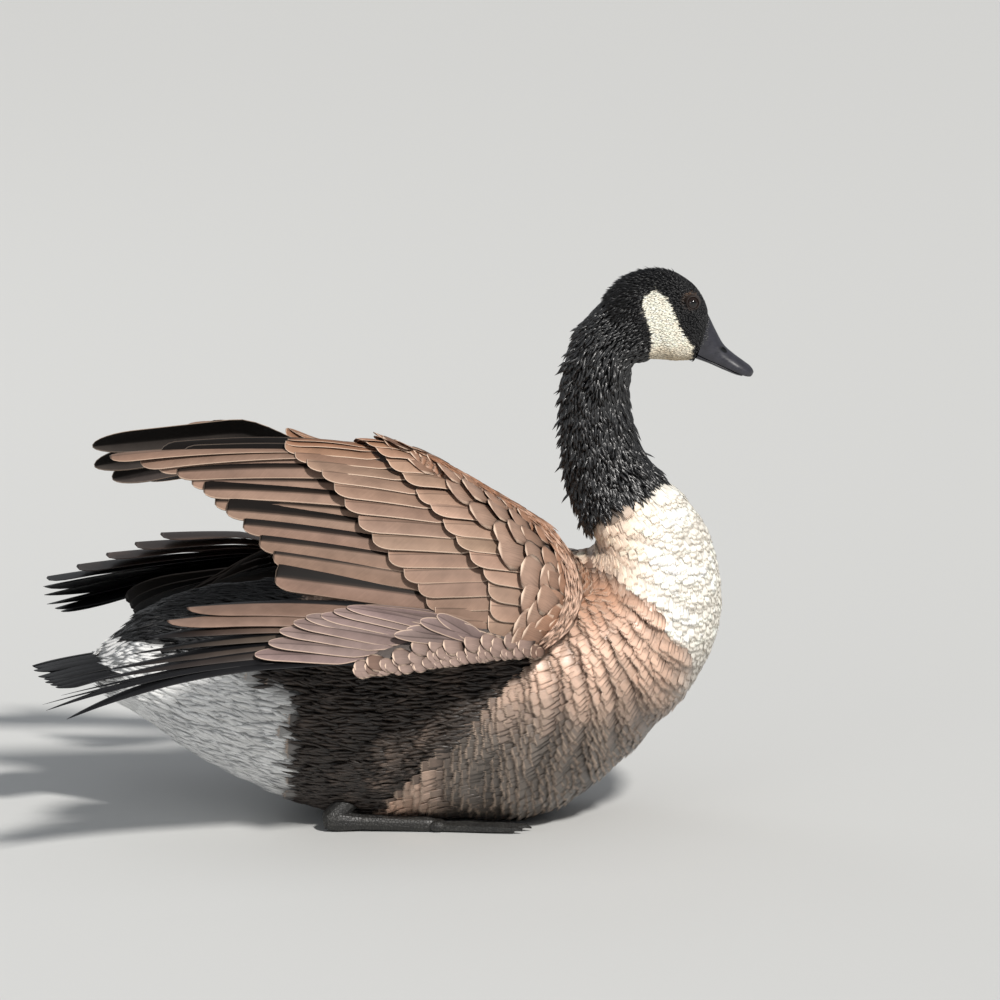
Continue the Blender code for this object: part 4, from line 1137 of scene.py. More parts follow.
u, turn = rows_of_roots(23.4, 28.9, 1.5 * MM, 1.25 * MM, 1, 0.35)
roots = trunk_roots(u, turn, (23, 29))
clear = away_from_eyes(roots.point, 5.1 * MM)
roots, crown = keep(roots, clear), np.cos(turn[clear])
crown = smooth_step(-0.2, 0.8, crown) * (1 - smooth_step(25.6, 27.0, u[clear]))
white = roots.tint.mean(1) > 0.3
crown = crown[~white]
wild = 1 + 0.7 * (np.random.default_rng(3).random(len(crown)) > 0.94)
shag = crown * (1 - smooth_step(23.9, 25.3, u[clear][~white]))
face_rise = (0.12 + 0.16 * crown + 0.12 * shag) * wild
face_form = Form((3.8 + 3.0 * crown + 3.0 * shag) * MM, (1.6 + 0.9 * shag) * MM, (0.4 + 0.4 * shag) * MM, face_rise, 0.24, 0.2 * MM, 0.0, 0.2)
plant("coat_face", keep(roots, ~white), face_form, naps, velvet_black, 11)
cheek_form = Form(4.4 * MM, 1.8 * MM, 0.32 * MM, 0.09, 0.22, 0.2 * MM, 0.0, 0.2)
plant("coat_cheek", keep(roots, white), cheek_form, naps, soft_white, 13)

# %% [markdown]
# ## Long feathers
# A flight feather is a shaft with a vane on each side: narrow outside, wide inside. It arches, its edges droop,
# and it is tilted so that its inner neighbour lies over its inner web. Each is a thin closed blade with a
# ridge for the shaft. It keeps its own map cell, and for every point the distance out from the shaft, the way
# along it and the distance from the rim, which its material draws by.

# %% One long feather
Blade = namedtuple("Blade", "width outer arch sweep camber tilt taper tip_start tip_power rim")
BLADE_ROWS = 26
BLADE_COLUMNS = np.array([-1, -0.9, -0.68, -0.4, -0.16, -0.045, 0, 0.045, 0.16, 0.4, 0.68, 0.9, 1])
BLADE_THICKNESS = 0.45 * MM
SHAFT_HEIGHT = 0.35 * MM
TILT = math.radians(12)
SECONDARY = Blade(0.036, 0.25, 0.006, 0.000, 0.10, TILT, 0.10, 0.90, 2.4, 0.55)
TERTIAL = Blade(0.036, 0.34, 0.009, 0.000, 0.10, TILT, 0.15, 0.84, 2.0, 0.6)
PRIMARY = Blade(0.024, 0.30, 0.012, -0.012, 0.12, 1.5 * TILT, 0.40, 0.74, 1.5, 0.0)
PRIMARY_COVERT = Blade(0.019, 0.42, 0.003, 0.001, 0.08, TILT, 0.25, 0.80, 2.0, 0.6)
ALULA_QUILL = Blade(0.015, 0.40, 0.003, 0.001, 0.10, TILT, 0.30, 0.76, 2.0, 0.6)
GREATER_COVERT = Blade(0.025, 0.47, 0.003, 0.000, 0.10, TILT, 0.05, 0.80, 2.5, 1.0)
MEDIAN_COVERT = Blade(0.027, 0.48, 0.003, 0.000, 0.10, TILT, 0.05, 0.72, 2.4, 1.0)
TAIL_QUILL = Blade(0.021, 0.45, 0.002, 0.000, 0.25, math.radians(-12), 0.06, 0.80, 1.5, 0.0)


def blade_width(share, blade):
    """Width along the feather as a share of its full width."""
    rise = 0.34 + 0.66 * smooth_step(0.0, 0.28, share)
    taper = 1 - blade.taper * smooth_step(0.35, 1.0, share)
    end = np.clip((share - blade.tip_start) / (1 - blade.tip_start), 0, 1)
    return rise * taper * np.maximum((1 - end**blade.tip_power), 0.0) ** (1 / blade.tip_power)


def blade_points(root, tip, side, normal, blade, draw):
    """Upper and lower points of a feather, and each point's place on its vane."""
    share = 1 - (1 - np.linspace(0, 1, BLADE_ROWS)) ** 1.35
    share[-1] = 0.9985
    span = np.linalg.norm(tip - root)
    middle = (root + tip) / 2 + unit(normal) * blade.arch * 2 + unit(side) * blade.sweep * 2
    t = share[:, None]
    centre = (1 - t) ** 2 * root + 2 * t * (1 - t) * middle + t**2 * tip
    forward = unit((1 - t) * (middle - root) + t * (tip - middle))
    flat = unit(side - forward * (forward @ side)[:, None])
    rise = unit(np.cross(flat, forward))
    rise *= np.sign(rise @ normal)[:, None]
    tilt = blade.tilt + draw.normal(0, 0.02)
    across = flat * math.cos(tilt) + rise * math.sin(tilt)
    above = rise * math.cos(tilt) - flat * math.sin(tilt)
    width = blade.width * blade_width(share, blade) * draw.uniform(0.97, 1.03)
    web = np.where(BLADE_COLUMNS > 0, blade.outer, 1 - blade.outer)
    out = width[:, None] * (BLADE_COLUMNS * web)[None]
    droop = -blade.camber * (np.abs(BLADE_COLUMNS) ** 1.7)[None] * width[:, None]
    ridge = SHAFT_HEIGHT * (1 - 0.8 * share)[:, None] * (np.abs(BLADE_COLUMNS) < 0.01)[None]
    surface = centre[:, None] + across[:, None] * out[..., None] + above[:, None] * (droop + ridge)[..., None]
    body = BLADE_THICKNESS * (1 - BLADE_COLUMNS**2) * (1 - 0.5 * share)[:, None]
    lower = surface - above[:, None] * (body + ridge)[..., None]
    rim = np.minimum((1 - np.abs(BLADE_COLUMNS))[None] * width[:, None] * web[None], (1 - share)[:, None] * span)
    return surface, lower, np.stack([out, np.broadcast_to(t * span, out.shape), rim], -1)


# %% A piece made of many long feathers
class Plumes:
    """Gathers long feathers and makes one mesh of them. Each has a cell of the map, its underside another."""

    def __init__(self, name, cells, seed):
        self.name, self.cells, self.draw = name, cells, np.random.default_rng(seed)
        self.points, self.faces, self.vane, self.tint, self.rim = [], [], [], [], []
        self.maps, self.slots, self.made = [], [], 0

    def add(self, root, tip, side, normal, blade, tints, place, slot):
        rows, columns = BLADE_ROWS, len(BLADE_COLUMNS)
        upper, lower, vane = blade_points(root, tip, side, normal, blade, self.draw)
        inner = np.zeros((rows, columns), bool)
        inner[1:-1, 1:-1] = True
        first = sum(len(p) for p in self.points)
        above = first + np.arange(rows * columns).reshape(rows, columns)
        below = above.copy()
        below[inner] = first + rows * columns + np.arange(inner.sum())
        self.points += [place(upper.reshape(-1, 3)), place(lower[inner])]
        colour = tints(BLADE_COLUMNS[None] + np.zeros((rows, 1)), vane[..., 1] / vane[..., 1].max())
        colour = np.clip(colour * (1 + self.draw.normal(0, 0.07) + self.draw.normal(0, 0.01, 3)), 0, 0.95)
        self.vane += [vane.reshape(-1, 3) + (0, 0, 0), vane[inner]]
        self.tint += [colour.reshape(-1, 3), colour[inner] * 0.8]
        self.rim += [np.full(len(self.points[-2]), blade.rim), np.full(len(self.points[-1]), blade.rim * 0.5)]
        cell = np.array([self.made % self.cells, self.made // self.cells]) / self.cells
        u = np.linspace(0.04, 0.46, columns)[None] + np.zeros((rows, 1))
        v = np.linspace(0.04, 0.96, rows)[:, None] + np.zeros((1, columns))
        flip = np.sign(np.linalg.det(place(np.array([[0, 0, 0], [1, 0, 0], [0, 1, 0], [0, 0, 1.0]]))[1:]))
        for grid, shift, turned in ((above, 0.0, False), (below, 0.5, True)):
            quads = np.stack([grid[:-1, :-1], grid[1:, :-1], grid[1:, 1:], grid[:-1, 1:]], -1)
            at = np.stack([u + shift, v], -1) / self.cells + cell
            corners = np.stack([at[:-1, :-1], at[1:, :-1], at[1:, 1:], at[:-1, 1:]], -2)
            if turned:
                quads, corners = quads[..., ::-1], corners[..., ::-1, :]
            self.faces.append(quads.reshape(-1, 4))
            self.maps.append(corners.reshape(-1, 2))
            self.slots.append(np.full(quads[..., 0].size, slot))
        self.made += 1

    def build(self, materials):
        points = np.concatenate(self.points)
        obj = mesh_object(self.name, points, np.concatenate(self.faces).tolist())
        mesh = obj.data
        for material in materials:
            mesh.materials.append(material)
        layer = mesh.uv_layers.new(name="OFBake")
        layer.uv.foreach_set("vector", np.concatenate(self.maps).astype(np.float32).ravel())
        mesh.polygons.foreach_set("material_index", np.concatenate(self.slots).astype(np.int32))
        store(mesh, "vane", "FLOAT_VECTOR", np.concatenate(self.vane))
        store(mesh, "tint", "FLOAT_COLOR", np.concatenate(self.tint))
        store(mesh, "edge", "FLOAT", np.concatenate(self.rim))
        face_outwards(obj)
        mesh.shade_smooth()
        pieces.append(obj)
        print(f"{self.name}: {self.made} feathers, {2 * len(mesh.polygons)} triangles")
        return obj


# %% [markdown]
# ## Tiers of a wing
# Twelve secondaries stand in a fan on the arm and ten primaries on the hand. Greater coverts lie over their
# roots, median coverts over those. The tips of the flight feathers are where the photograph shows them.

# %% Places of the tiers
SECONDARY_TIPS = [
    (-0.138, -0.150, 0.224),
    (-0.142, -0.142, 0.243),
    (-0.153, -0.137, 0.253),
    (-0.168, -0.130, 0.266),
    (-0.181, -0.123, 0.276),
    (-0.191, -0.117, 0.283),
    (-0.201, -0.111, 0.290),
    (-0.213, -0.105, 0.297),
    (-0.228, -0.102, 0.303),
    (-0.244, -0.099, 0.307),
    (-0.270, -0.095, 0.311),
]
LEFT_SECONDARY_TIPS = SECONDARY_TIPS[:8] + [(-0.242, -0.100, 0.254), (-0.272, -0.092, 0.257), (-0.287, -0.080, 0.270)]
LEFT_SECONDARY_TIPS += [(-0.288, -0.064, 0.288)]
PRIMARY_TIPS = [
    (-0.303, -0.266, 0.133),
    (-0.319, -0.261, 0.138),
    (-0.321, -0.254, 0.142),
    (-0.308, -0.245, 0.147),
    (-0.291, -0.236, 0.154),
    (-0.272, -0.226, 0.164),
    (-0.254, -0.214, 0.175),
    (-0.238, -0.201, 0.184),
    (-0.224, -0.187, 0.194),
    (-0.209, -0.172, 0.203),
]
LEFT_PRIMARY_TIPS = [
    (-0.316, -0.257, 0.115),
    (-0.322, -0.255, 0.118),
    (-0.328, -0.251, 0.122),
    (-0.331, -0.248, 0.130),
    (-0.331, -0.243, 0.138),
    (-0.328, -0.237, 0.147),
    (-0.304, -0.219, 0.160),
    (-0.280, -0.203, 0.173),
    (-0.257, -0.189, 0.184),
    (-0.235, -0.175, 0.195),
]
PRIMARY_COVERT_TIPS = [
    (-0.154, -0.214, 0.172),
    (-0.129, -0.192, 0.192),
    (-0.100, -0.180, 0.199),
    (-0.072, -0.166, 0.202),
]
AXILLAR_TIPS = [(-0.264, -0.165, 0.142), (-0.254, -0.150, 0.133), (-0.240, -0.140, 0.126), (-0.200, -0.135, 0.140)]
ALULA_TIPS = [(-0.045, -0.181, 0.183), (-0.030, -0.174, 0.190), (-0.012, -0.164, 0.195)]


def on_net(net, rows, column, depth=0.0):
    """A line along a limb, or that deep under it, as a function of the share along the tier."""

    def point(share):
        row = np.atleast_1d(rows[0] + (rows[1] - rows[0]) * share)
        at, normal, _ = net_frame(net, row, np.full(len(row), column))
        return (at - normal * depth)[0]

    return point


def through(points):
    return lambda share: spline(points, share)[0]


def tier(plumes, count, roots, tips, lift, blade_at, tints_at, place, slot):
    """Sets a tier of feathers, from its outermost at share 0 to its innermost at 1."""
    for i in range(count):
        share = i / (count - 1)
        low, high = max(share - 0.5 / count, 0), min(share + 0.5 / count, 1)
        outward = roots(low) + tips(low) - roots(high) - tips(high)
        root, tip = roots(share), tips(share)
        normal = unit(np.cross(tip - root, outward))
        normal = normal if normal @ UPPER_SIDE > 0 else -normal
        blade, tints = blade_at(i, share), tints_at(i, share)
        tip = tip + normal * lift + plumes.draw.normal(0, 0.8 * MM, 3)
        plumes.add(root, tip, outward, normal, blade, tints, place, slot)


def two_webs(outer, inner, tip=None, tip_from=0.7):
    """The colour of a feather whose outer web is lighter than its inner one."""

    def tints(across, along):
        tint = mix(inner, outer, smooth_step(-0.06, 0.02, across))
        return tint if tip is None else mix(tint, tip, smooth_step(tip_from, 1.0, along))

    return tints


# %% Feathers of both wings
def secondary_blade(i, share):
    outer = float(np.interp(i, [1, 4], [0.32, 0.21]))
    return SECONDARY._replace(outer=outer) if i < 10 else SECONDARY._replace(outer=0.5, width=0.024)


def secondary_tints(i, share):
    brown = mix(OUTER_WEB, MANTLE, 0.15 + 0.1 * (i % 2))
    return two_webs(brown, INNER_WEB if i < 10 else brown * 0.85)


def primary_blade(i, share):
    inner = float(smooth_step(0.7, 0.88, share))
    form = {"width": 0.022 + 0.016 * inner, "tip_power": 1.4 + 0.8 * inner, "outer": 0.3 + 0.2 * inner}
    return PRIMARY._replace(taper=0.4 - 0.3 * inner, tip_start=0.74 + 0.12 * inner, **form)


def primary_tints(i, share):
    outer = mix(PRIMARY_BLACK, PRIMARY_GREY, smooth_step(0.3, 0.7, share))
    outer = mix(outer, OUTER_WEB * 0.8, smooth_step(0.7, 0.85, share))
    return two_webs(outer, PRIMARY_BLACK, PRIMARY_BLACK if share < 0.8 else None, 0.5)


def covert_tints(i, share):
    brown = mix(COVERT_BROWN, RUFOUS, 0.8 * smooth_step(0.65, 0.95, share))
    return two_webs(brown, brown * 0.86, brown * 1.1, 0.6)


def greater_tints(i, share):
    brown = mix(COVERT_BROWN, RUFOUS, 0.8 * smooth_step(0.65, 0.95, share)) * 0.78
    return two_webs(brown, brown * 0.8, brown * 1.15, 0.55)


def left_secondary_blade(i, share):
    return SECONDARY if i < 8 else TERTIAL._replace(width=0.030, tilt=-math.radians(14), arch=0.0, rim=0.45)


def left_secondary_tints(i, share):
    # the innermost left feathers show their underside: the underwing's grey-brown, painted darker as shade
    return secondary_tints(i, share) if i < 8 else two_webs(UNDERWING * 0.75, INNER_WEB * 1.4)


def left_primary_blade(i, share):
    start, power = 0.82 + 0.10 * smooth_step(0.3, 0.5, share), 1.5 + 0.7 * smooth_step(0.3, 0.5, share)
    return PRIMARY._replace(width=0.044, outer=0.35, tip_start=start, tip_power=power, taper=0.1, sweep=-0.006)


def left_primary_tints(i, share):
    # the inner feathers are painted brown: partly their own colour, partly a painted highlight of their lit upper
    # edge
    worn = smooth_step(0.55, 0.85, share)
    return two_webs(mix(PRIMARY_BLACK, OUTER_WEB * 0.7, worn), mix(PRIMARY_BLACK, OUTER_WEB * 0.35, worn))


def axillars(plumes):
    """Long soft feathers under the left wing that close the view between its hand and the rump, painted near black as
    the shade under that wing.
    """
    roots, blade = on_net(ARM_NET, (0.06, 0.60), 0.60, 14 * MM), TERTIAL._replace(arch=0.0, tilt=0.0, rim=0.0, width=0.042)
    # painted shade: the whole feather takes the near-black of an inner web
    tints = two_webs(INNER_WEB, INNER_WEB)
    tier(plumes, 8, roots, through(AXILLAR_TIPS), 0, lambda i, s: blade, lambda i, s: tints, left_place, 1)


def hand_tints(i, share):
    return two_webs(PRIMARY_COVERT_GREY, PRIMARY_COVERT_GREY * 0.8, PRIMARY_COVERT_GREY * 1.15, 0.6)


def wing_feathers(label, secondaries, primaries, place, seed):
    plumes = Plumes("flight_feathers_" + label, 8, seed)
    roots = on_net(ARM_NET, (0.12, 0.94), 0.62, 6 * MM)
    tier(plumes, 12, roots, through(secondaries[0]), 0, *secondaries[1:], place, 0)
    roots = on_net(HAND_NET, (0.96, 0.16), 0.55, 5 * MM)
    tier(plumes, 10, roots, through(primaries[0]), 0, *primaries[1:], place, 1)
    roots, tips = on_net(HAND_NET, (0.93, 0.23), 0.80, 3 * MM), through(PRIMARY_COVERT_TIPS)
    tier(plumes, 9, roots, tips, 4 * MM, lambda i, s: PRIMARY_COVERT, hand_tints, place, 0)
    roots, tips = on_net(HAND_NET, (0.20, 0.32), 0.50, 2 * MM), through(ALULA_TIPS)
    tier(plumes, 4, roots, tips, 3 * MM, lambda i, s: ALULA_QUILL, hand_tints, place, 0)
    roots, ends = on_net(ARM_NET, (0.08, 0.96), 0.50, 3 * MM), on_net(ARM_NET, (0.02, 0.98), 1.0)
    # the innermost ones of the left wing lie lower, so that the right wing hides them
    drop = 9 * MM if place is left_place else 0.0
    tips = lambda share: ends(share) - np.array([0, 0, drop]) * smooth_step(0.8, 1.0, share)
    tier(plumes, 17, roots, tips, 7 * MM, lambda i, s: GREATER_COVERT, greater_tints, place, 0)
    roots, tips = on_net(ARM_NET, (0.12, 0.98), 0.26, 3 * MM), on_net(ARM_NET, (0.06, 0.98), 0.68)
    tier(plumes, 15, roots, tips, 6 * MM, lambda i, s: MEDIAN_COVERT, covert_tints, place, 0)
    if place is left_place:
        axillars(plumes)
    return plumes.build([flight_vane, black_vane])


right_secondaries = (SECONDARY_TIPS, secondary_blade, secondary_tints)
right_primaries = (PRIMARY_TIPS, primary_blade, primary_tints)
left_secondaries = (LEFT_SECONDARY_TIPS, left_secondary_blade, left_secondary_tints)
left_primaries = (LEFT_PRIMARY_TIPS, left_primary_blade, left_primary_tints)
flight_right = wing_feathers("right", right_secondaries, right_primaries, right_place, 5)
flight_left = wing_feathers("left", left_secondaries, left_primaries, left_place, 6)
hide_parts("wing_right")
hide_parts("wing_left")

# %% [markdown]
# ## Tail
# Sixteen stiff black feathers open in a low fan behind the body, the middle pair on top. Their roots are
# hidden by white coverts above and below.

# %% Tail feathers
TAIL_ROOT = (-0.262, 0.0, 0.134)
TAIL_LENGTH = 0.150
TAIL_DROOP = 0.17
TAIL_SPREAD = math.radians(20)
TAIL_HIDDEN_SHARE = 0.47
TAIL_LAYER = 1.3 * MM
TAIL_ROUNDING = 0.10
TAIL_COUNT = 16


def build_tail():
    plumes = Plumes("tail_feathers", 4, 9)
    hidden = TAIL_LENGTH * TAIL_HIDDEN_SHARE
    pivot = np.array(TAIL_ROOT) + (hidden, 0, hidden * TAIL_DROOP)
    for i in range(TAIL_COUNT):
        share = 2 * i / (TAIL_COUNT - 1) - 1
        angle = share * TAIL_SPREAD
        forward = unit((-math.cos(angle), math.sin(angle), -TAIL_DROOP))
        layer = np.array([0, 0, -TAIL_LAYER * abs(share) * TAIL_COUNT / 2])
        side = unit(np.cross(forward, (0, 0, 1))) * (1 if share < 0 else -1)
        root = pivot + forward * hidden * 0.8 + layer
        worn = plumes.draw.uniform(0.92, 1.0)
        tip = pivot + forward * TAIL_LENGTH * (1 - TAIL_ROUNDING * abs(share)) * worn + layer
        tints = two_webs(RUMP_BLACK, RUMP_BLACK * 0.8)
        plumes.add(root, tip, side, np.array([0, 0, 1.0]), TAIL_QUILL, tints, right_place, 0)
    return plumes.build([black_vane])


tail = build_tail()
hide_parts("tail")

# %% [markdown]
# ## The coat, region by region
# The neck is wet: its feathers are stuck together into glossy pointed locks that stand out at the nape. On
# breast and flanks they lie in close rows, and each row's toothed edge shows as a ridge. The thigh, the rump
# and the vent are softer, and covered by longer locks.


# %% Coat of neck and trunk
def dark_share(tint):
    return tint.mean(1) < 0.08


def ridged(u, turn, strength):
    """Rows stand higher in some places than in others, so that they gather into pleats, fewest in the middle."""
    wave = np.sin(9.0 * u + 2.6 * np.sin(2.0 * turn + 0.8 * u) + 1.2 * np.sin(5.0 * turn))
    wave += 0.7 * np.sin(3.7 * u + 2.1 * np.cos(1.5 * turn))
    calm = 1 - 0.65 * np.exp(-(((turn - math.pi) / 0.8) ** 2))
    return 1 + strength * calm * np.clip(wave, -1, 1)


def trunk_coat(name, span, gaps, form, tufts, material, seed, chosen, strength=0.0, jitter=0.12):
    u, turn = rows_of_roots(*span, *gaps, seed, jitter)
    roots = trunk_roots(u, turn, span)
    mask = chosen(roots, u, turn)
    roots, pleat = keep(roots, mask), ridged(u[mask], turn[mask], strength)
    # the tint follows the pleats: low rows are painted darker as shade, high ones lighter as painted light
    roots = roots._replace(tint=roots.tint * np.clip(0.55 + 0.45 * pleat, 0.5, 1.25)[:, None])
    even = 0.12 if tufts is combs else 0.3
    return plant(name, roots, form._replace(rise=form.rise * pleat), tufts, material, seed, even)


u, turn = rows_of_roots(15.2, 23.8, 3.2 * MM, 2.2 * MM, 2, 0.45)
roots = trunk_roots(u, turn, (15, 24))
dark = dark_share(roots.tint)
roots = keep(roots, dark)
nape = smooth_step(-0.2, 0.9, np.cos(turn[dark]))
bunch = patchy(roots.point, 12 * MM, 5)
grown = 1 - smooth_step(21.6, 23.6, u[dark])
wild = 1 + 1.1 * (np.random.default_rng(4).random(len(nape)) > 0.93)
neck_rise = (0.18 + (0.15 * nape + 0.09 * bunch) * grown) * wild
neck_form = Form((7 + 7 * grown) * MM, (2.4 + 1.4 * grown) * MM, 1.6 * MM, neck_rise, 0.26, 1.0 * MM, 0.0, 0.3)
plant("coat_neck", roots, neck_form, locks, wet_black, 12)


def is_white(roots, u, turn):
    return ~dark_share(roots.tint) & (roots.tint.min(1) > 0.36) & (u > 8)


def is_tan(roots, u, turn):
    return ~dark_share(roots.tint) & (roots.tint.min(1) <= 0.36) & (u > 3.5)


def is_soft(roots, u, turn):
    return dark_share(roots.tint) & (u < 15)


def is_vent(roots, u, turn):
    return ~dark_share(roots.tint) & (roots.tint.min(1) > 0.30)


white_form = Form(15 * MM, 7.0 * MM, 0.2 * MM, 0.115, 0.10, 1.0 * MM, 0.2, 0.16)
trunk_coat("coat_breast", (8, 19.8), (4.6 * MM, 3.1 * MM), white_form, combs, white_breast, 21, is_white, 0.4, 0.42)
tan_form = Form(16 * MM, 9.5 * MM, 0.15 * MM, 0.25, 0.035, 1.2 * MM, 0.6, 0.08)
trunk_coat("coat_crop", (9.7, 19.8), (5.4 * MM, 3.8 * MM), tan_form, combs, wet_tan, 22, is_tan, 0.6, 0.2)
flank_form = Form(18 * MM, 10.5 * MM, 0.16 * MM, 0.24, 0.035, 1.1 * MM, 0.5, 0.08)
trunk_coat("coat_flank", (3.5, 9.7), (6.4 * MM, 4.6 * MM), flank_form, combs, wet_tan, 23, is_tan, 0.6, 0.2)
soft_form = Form(19 * MM, 4.4 * MM, 1.1 * MM, 0.15, 0.16, 1.2 * MM, 0.0, 0.25)
trunk_coat("coat_thigh", (0.15, 15), (5.2 * MM, 3.3 * MM), soft_form, locks, velvet_black, 24, is_soft, 0.3, 0.4)
vent_form = Form(24 * MM, 6.0 * MM, 1.0 * MM, 0.14, 0.12, 2.0 * MM, 0.0, 0.2)
trunk_coat("coat_vent", (0.15, 7), (4.6 * MM, 2.8 * MM), vent_form, locks, soft_white, 25, is_vent, 0.1, 0.4)

# %% [markdown]
# ## The small coverts of the wings
# In front of the median coverts the wing is covered by rows of ever smaller rounded feathers, down to scales
# a few millimetres long at the leading edge. The upper arm has longer, wet, rufous ones, and wet streaks from
# the shoulder lie over the front of the wing.


# %% Coat of the wings
def wing_unwrap(row, column, box):
    x0, y0, x1, y1 = box
    return np.c_[x0 + (x1 - x0) * row, y0 + (y1 - y0) * column]


def placed(roots, place):
    """The roots carried to the other wing, with their directions turned along."""
    if place is right_place:
        return roots
    step = 1 * MM
    point = place(roots.point)
    lie = unit(place(roots.point + roots.lie * step) - point)
    side = place(roots.point + np.cross(roots.up, roots.lie) * step) - point
    up = unit(np.cross(side, lie))
    up *= np.sign(np.sum(up * (place(roots.point + roots.up * step) - point), axis=1))[:, None]
    return roots._replace(point=point, lie=lie, up=up)


def along_rows(net, row, column):
    """The way along the limb towards its high rows."""
    return unit(net_at(net, np.minimum(row + 0.01, 1), column) - net_at(net, np.maximum(row - 0.01, 0), column))


def covert_rows(net, tips, counts, lengths, rows, seed, depth=2.5 * MM, along_share=0.0):
    """Roots of rows of small coverts. Each row's tips lie at one column of the net."""
    draw = np.random.default_rng(seed)
    row_list, column_list, length_list = [], [], []
    for k, (tip, count, length) in enumerate(zip(tips, counts, lengths)):
        row = np.linspace(*rows, count) + 0.5 * (k % 2) * (rows[1] - rows[0]) / count
        row = np.clip(row + draw.uniform(-0.22, 0.22, count) / count, 0, 1)
        chord = np.linalg.norm(net_at(net, row, np.ones(count)) - net_at(net, row, np.zeros(count)), axis=1)
        row_list.append(row)
        column_list.append(np.clip(tip - length / chord + draw.normal(0, 0.012, count), 0, 1))
        length_list.append(np.full(count, length))
    row, column = np.concatenate(row_list), np.concatenate(column_list)
    point, up, back = net_frame(net, row, column)
    if along_share:
        back = unit(back * (1 - along_share) + along_rows(net, row, column) * along_share)
    box = (0.02, 0.02, 0.48, 0.48) if net is ARM_NET else (0.52, 0.02, 0.98, 0.48)
    rufous = np.maximum(smooth_step(0.60, 0.9, row), 0.8 * (1 - smooth_step(0.05, 0.22, column)))
    tint = mix(COVERT_BROWN, RUFOUS, 0.8 * rufous) if net is ARM_NET else np.repeat(HAND_GREY[None], len(row), 0)
    tint = mix(tint, RUFOUS * 0.35, 0.8 * smooth_step(0.35, 0.6, patchy(point, 11 * MM, 9)) * rufous)
    return Roots(point - up * depth, up, back, wing_unwrap(row, column, box), tint), np.concatenate(length_list)


def joined(*many):
    return Roots(*[np.concatenate(fields) for fields in zip(*many)])


def underside_roots(net, thickness, rows, columns, box):
    """Roots all over the lower side of a limb, which the bird shows from in front and below."""
    row, column = [g.ravel() for g in np.meshgrid(np.linspace(0.02, 0.98, rows), np.linspace(0.02, 0.9, columns))]
    point, up, back = net_frame(net, row, column)
    point = point - up * (spline(thickness, column) - 2 * MM)
    return Roots(point, -up, back, wing_unwrap(row, column, box), np.repeat(UNDERWING[None], len(row), 0))


def upper_arm_roots(box):
    """Roots round the upper arm, lying from the shoulder to the elbow."""
    stops, turns = np.meshgrid(np.linspace(0.0, 0.80, 28), np.linspace(0, 2 * math.pi, 34, endpoint=False))
    share, turn = stops.ravel(), (turns + stops * 40).ravel() % (2 * math.pi)
    at = spline(UPPER_ARM, share)
    ahead = unit(spline(UPPER_ARM, np.minimum(share + 0.02, 1)) - spline(UPPER_ARM, np.maximum(share - 0.02, 0)))
    forward = unit(ahead[:, :3])
    side = unit(np.cross(forward, (0, 1, 0)))
    rise = np.cross(side, forward)
    up = side * np.cos(turn)[:, None] + rise * np.sin(turn)[:, None]
    point = at[:, :3] + up * (at[:, 3] - 4 * MM)[:, None]
    tint = mix(RUFOUS, MANTLE, patchy(point, 18 * MM, 8) * 0.5 + 0.5)
    tint = mix(tint, RUFOUS * 0.3, smooth_step(0.2, 0.5, patchy(point, 9 * MM, 9)) * 0.8)
    return Roots(point, up, forward, wing_unwrap(share, turn / (2 * math.pi), box), tint)


def streak_roots(box, seed, count=380):
    """Roots of the wet streaks that run from the shoulder over the front of the wing."""
    draw = np.random.default_rng(seed)
    row, column = draw.uniform(0.12, 0.86, count), draw.uniform(0.0, 0.11, count)
    point, up, back = net_frame(ARM_NET, row, column)
    lie = unit(back * 0.35 - along_rows(ARM_NET, row, column))
    tint = mix(TAN, RUFOUS, smooth_step(0.35, 0.75, row + draw.normal(0, 0.08, count)))
    return Roots(point - up * 1 * MM, up, lie, wing_unwrap(row, column * 6, box), tint)


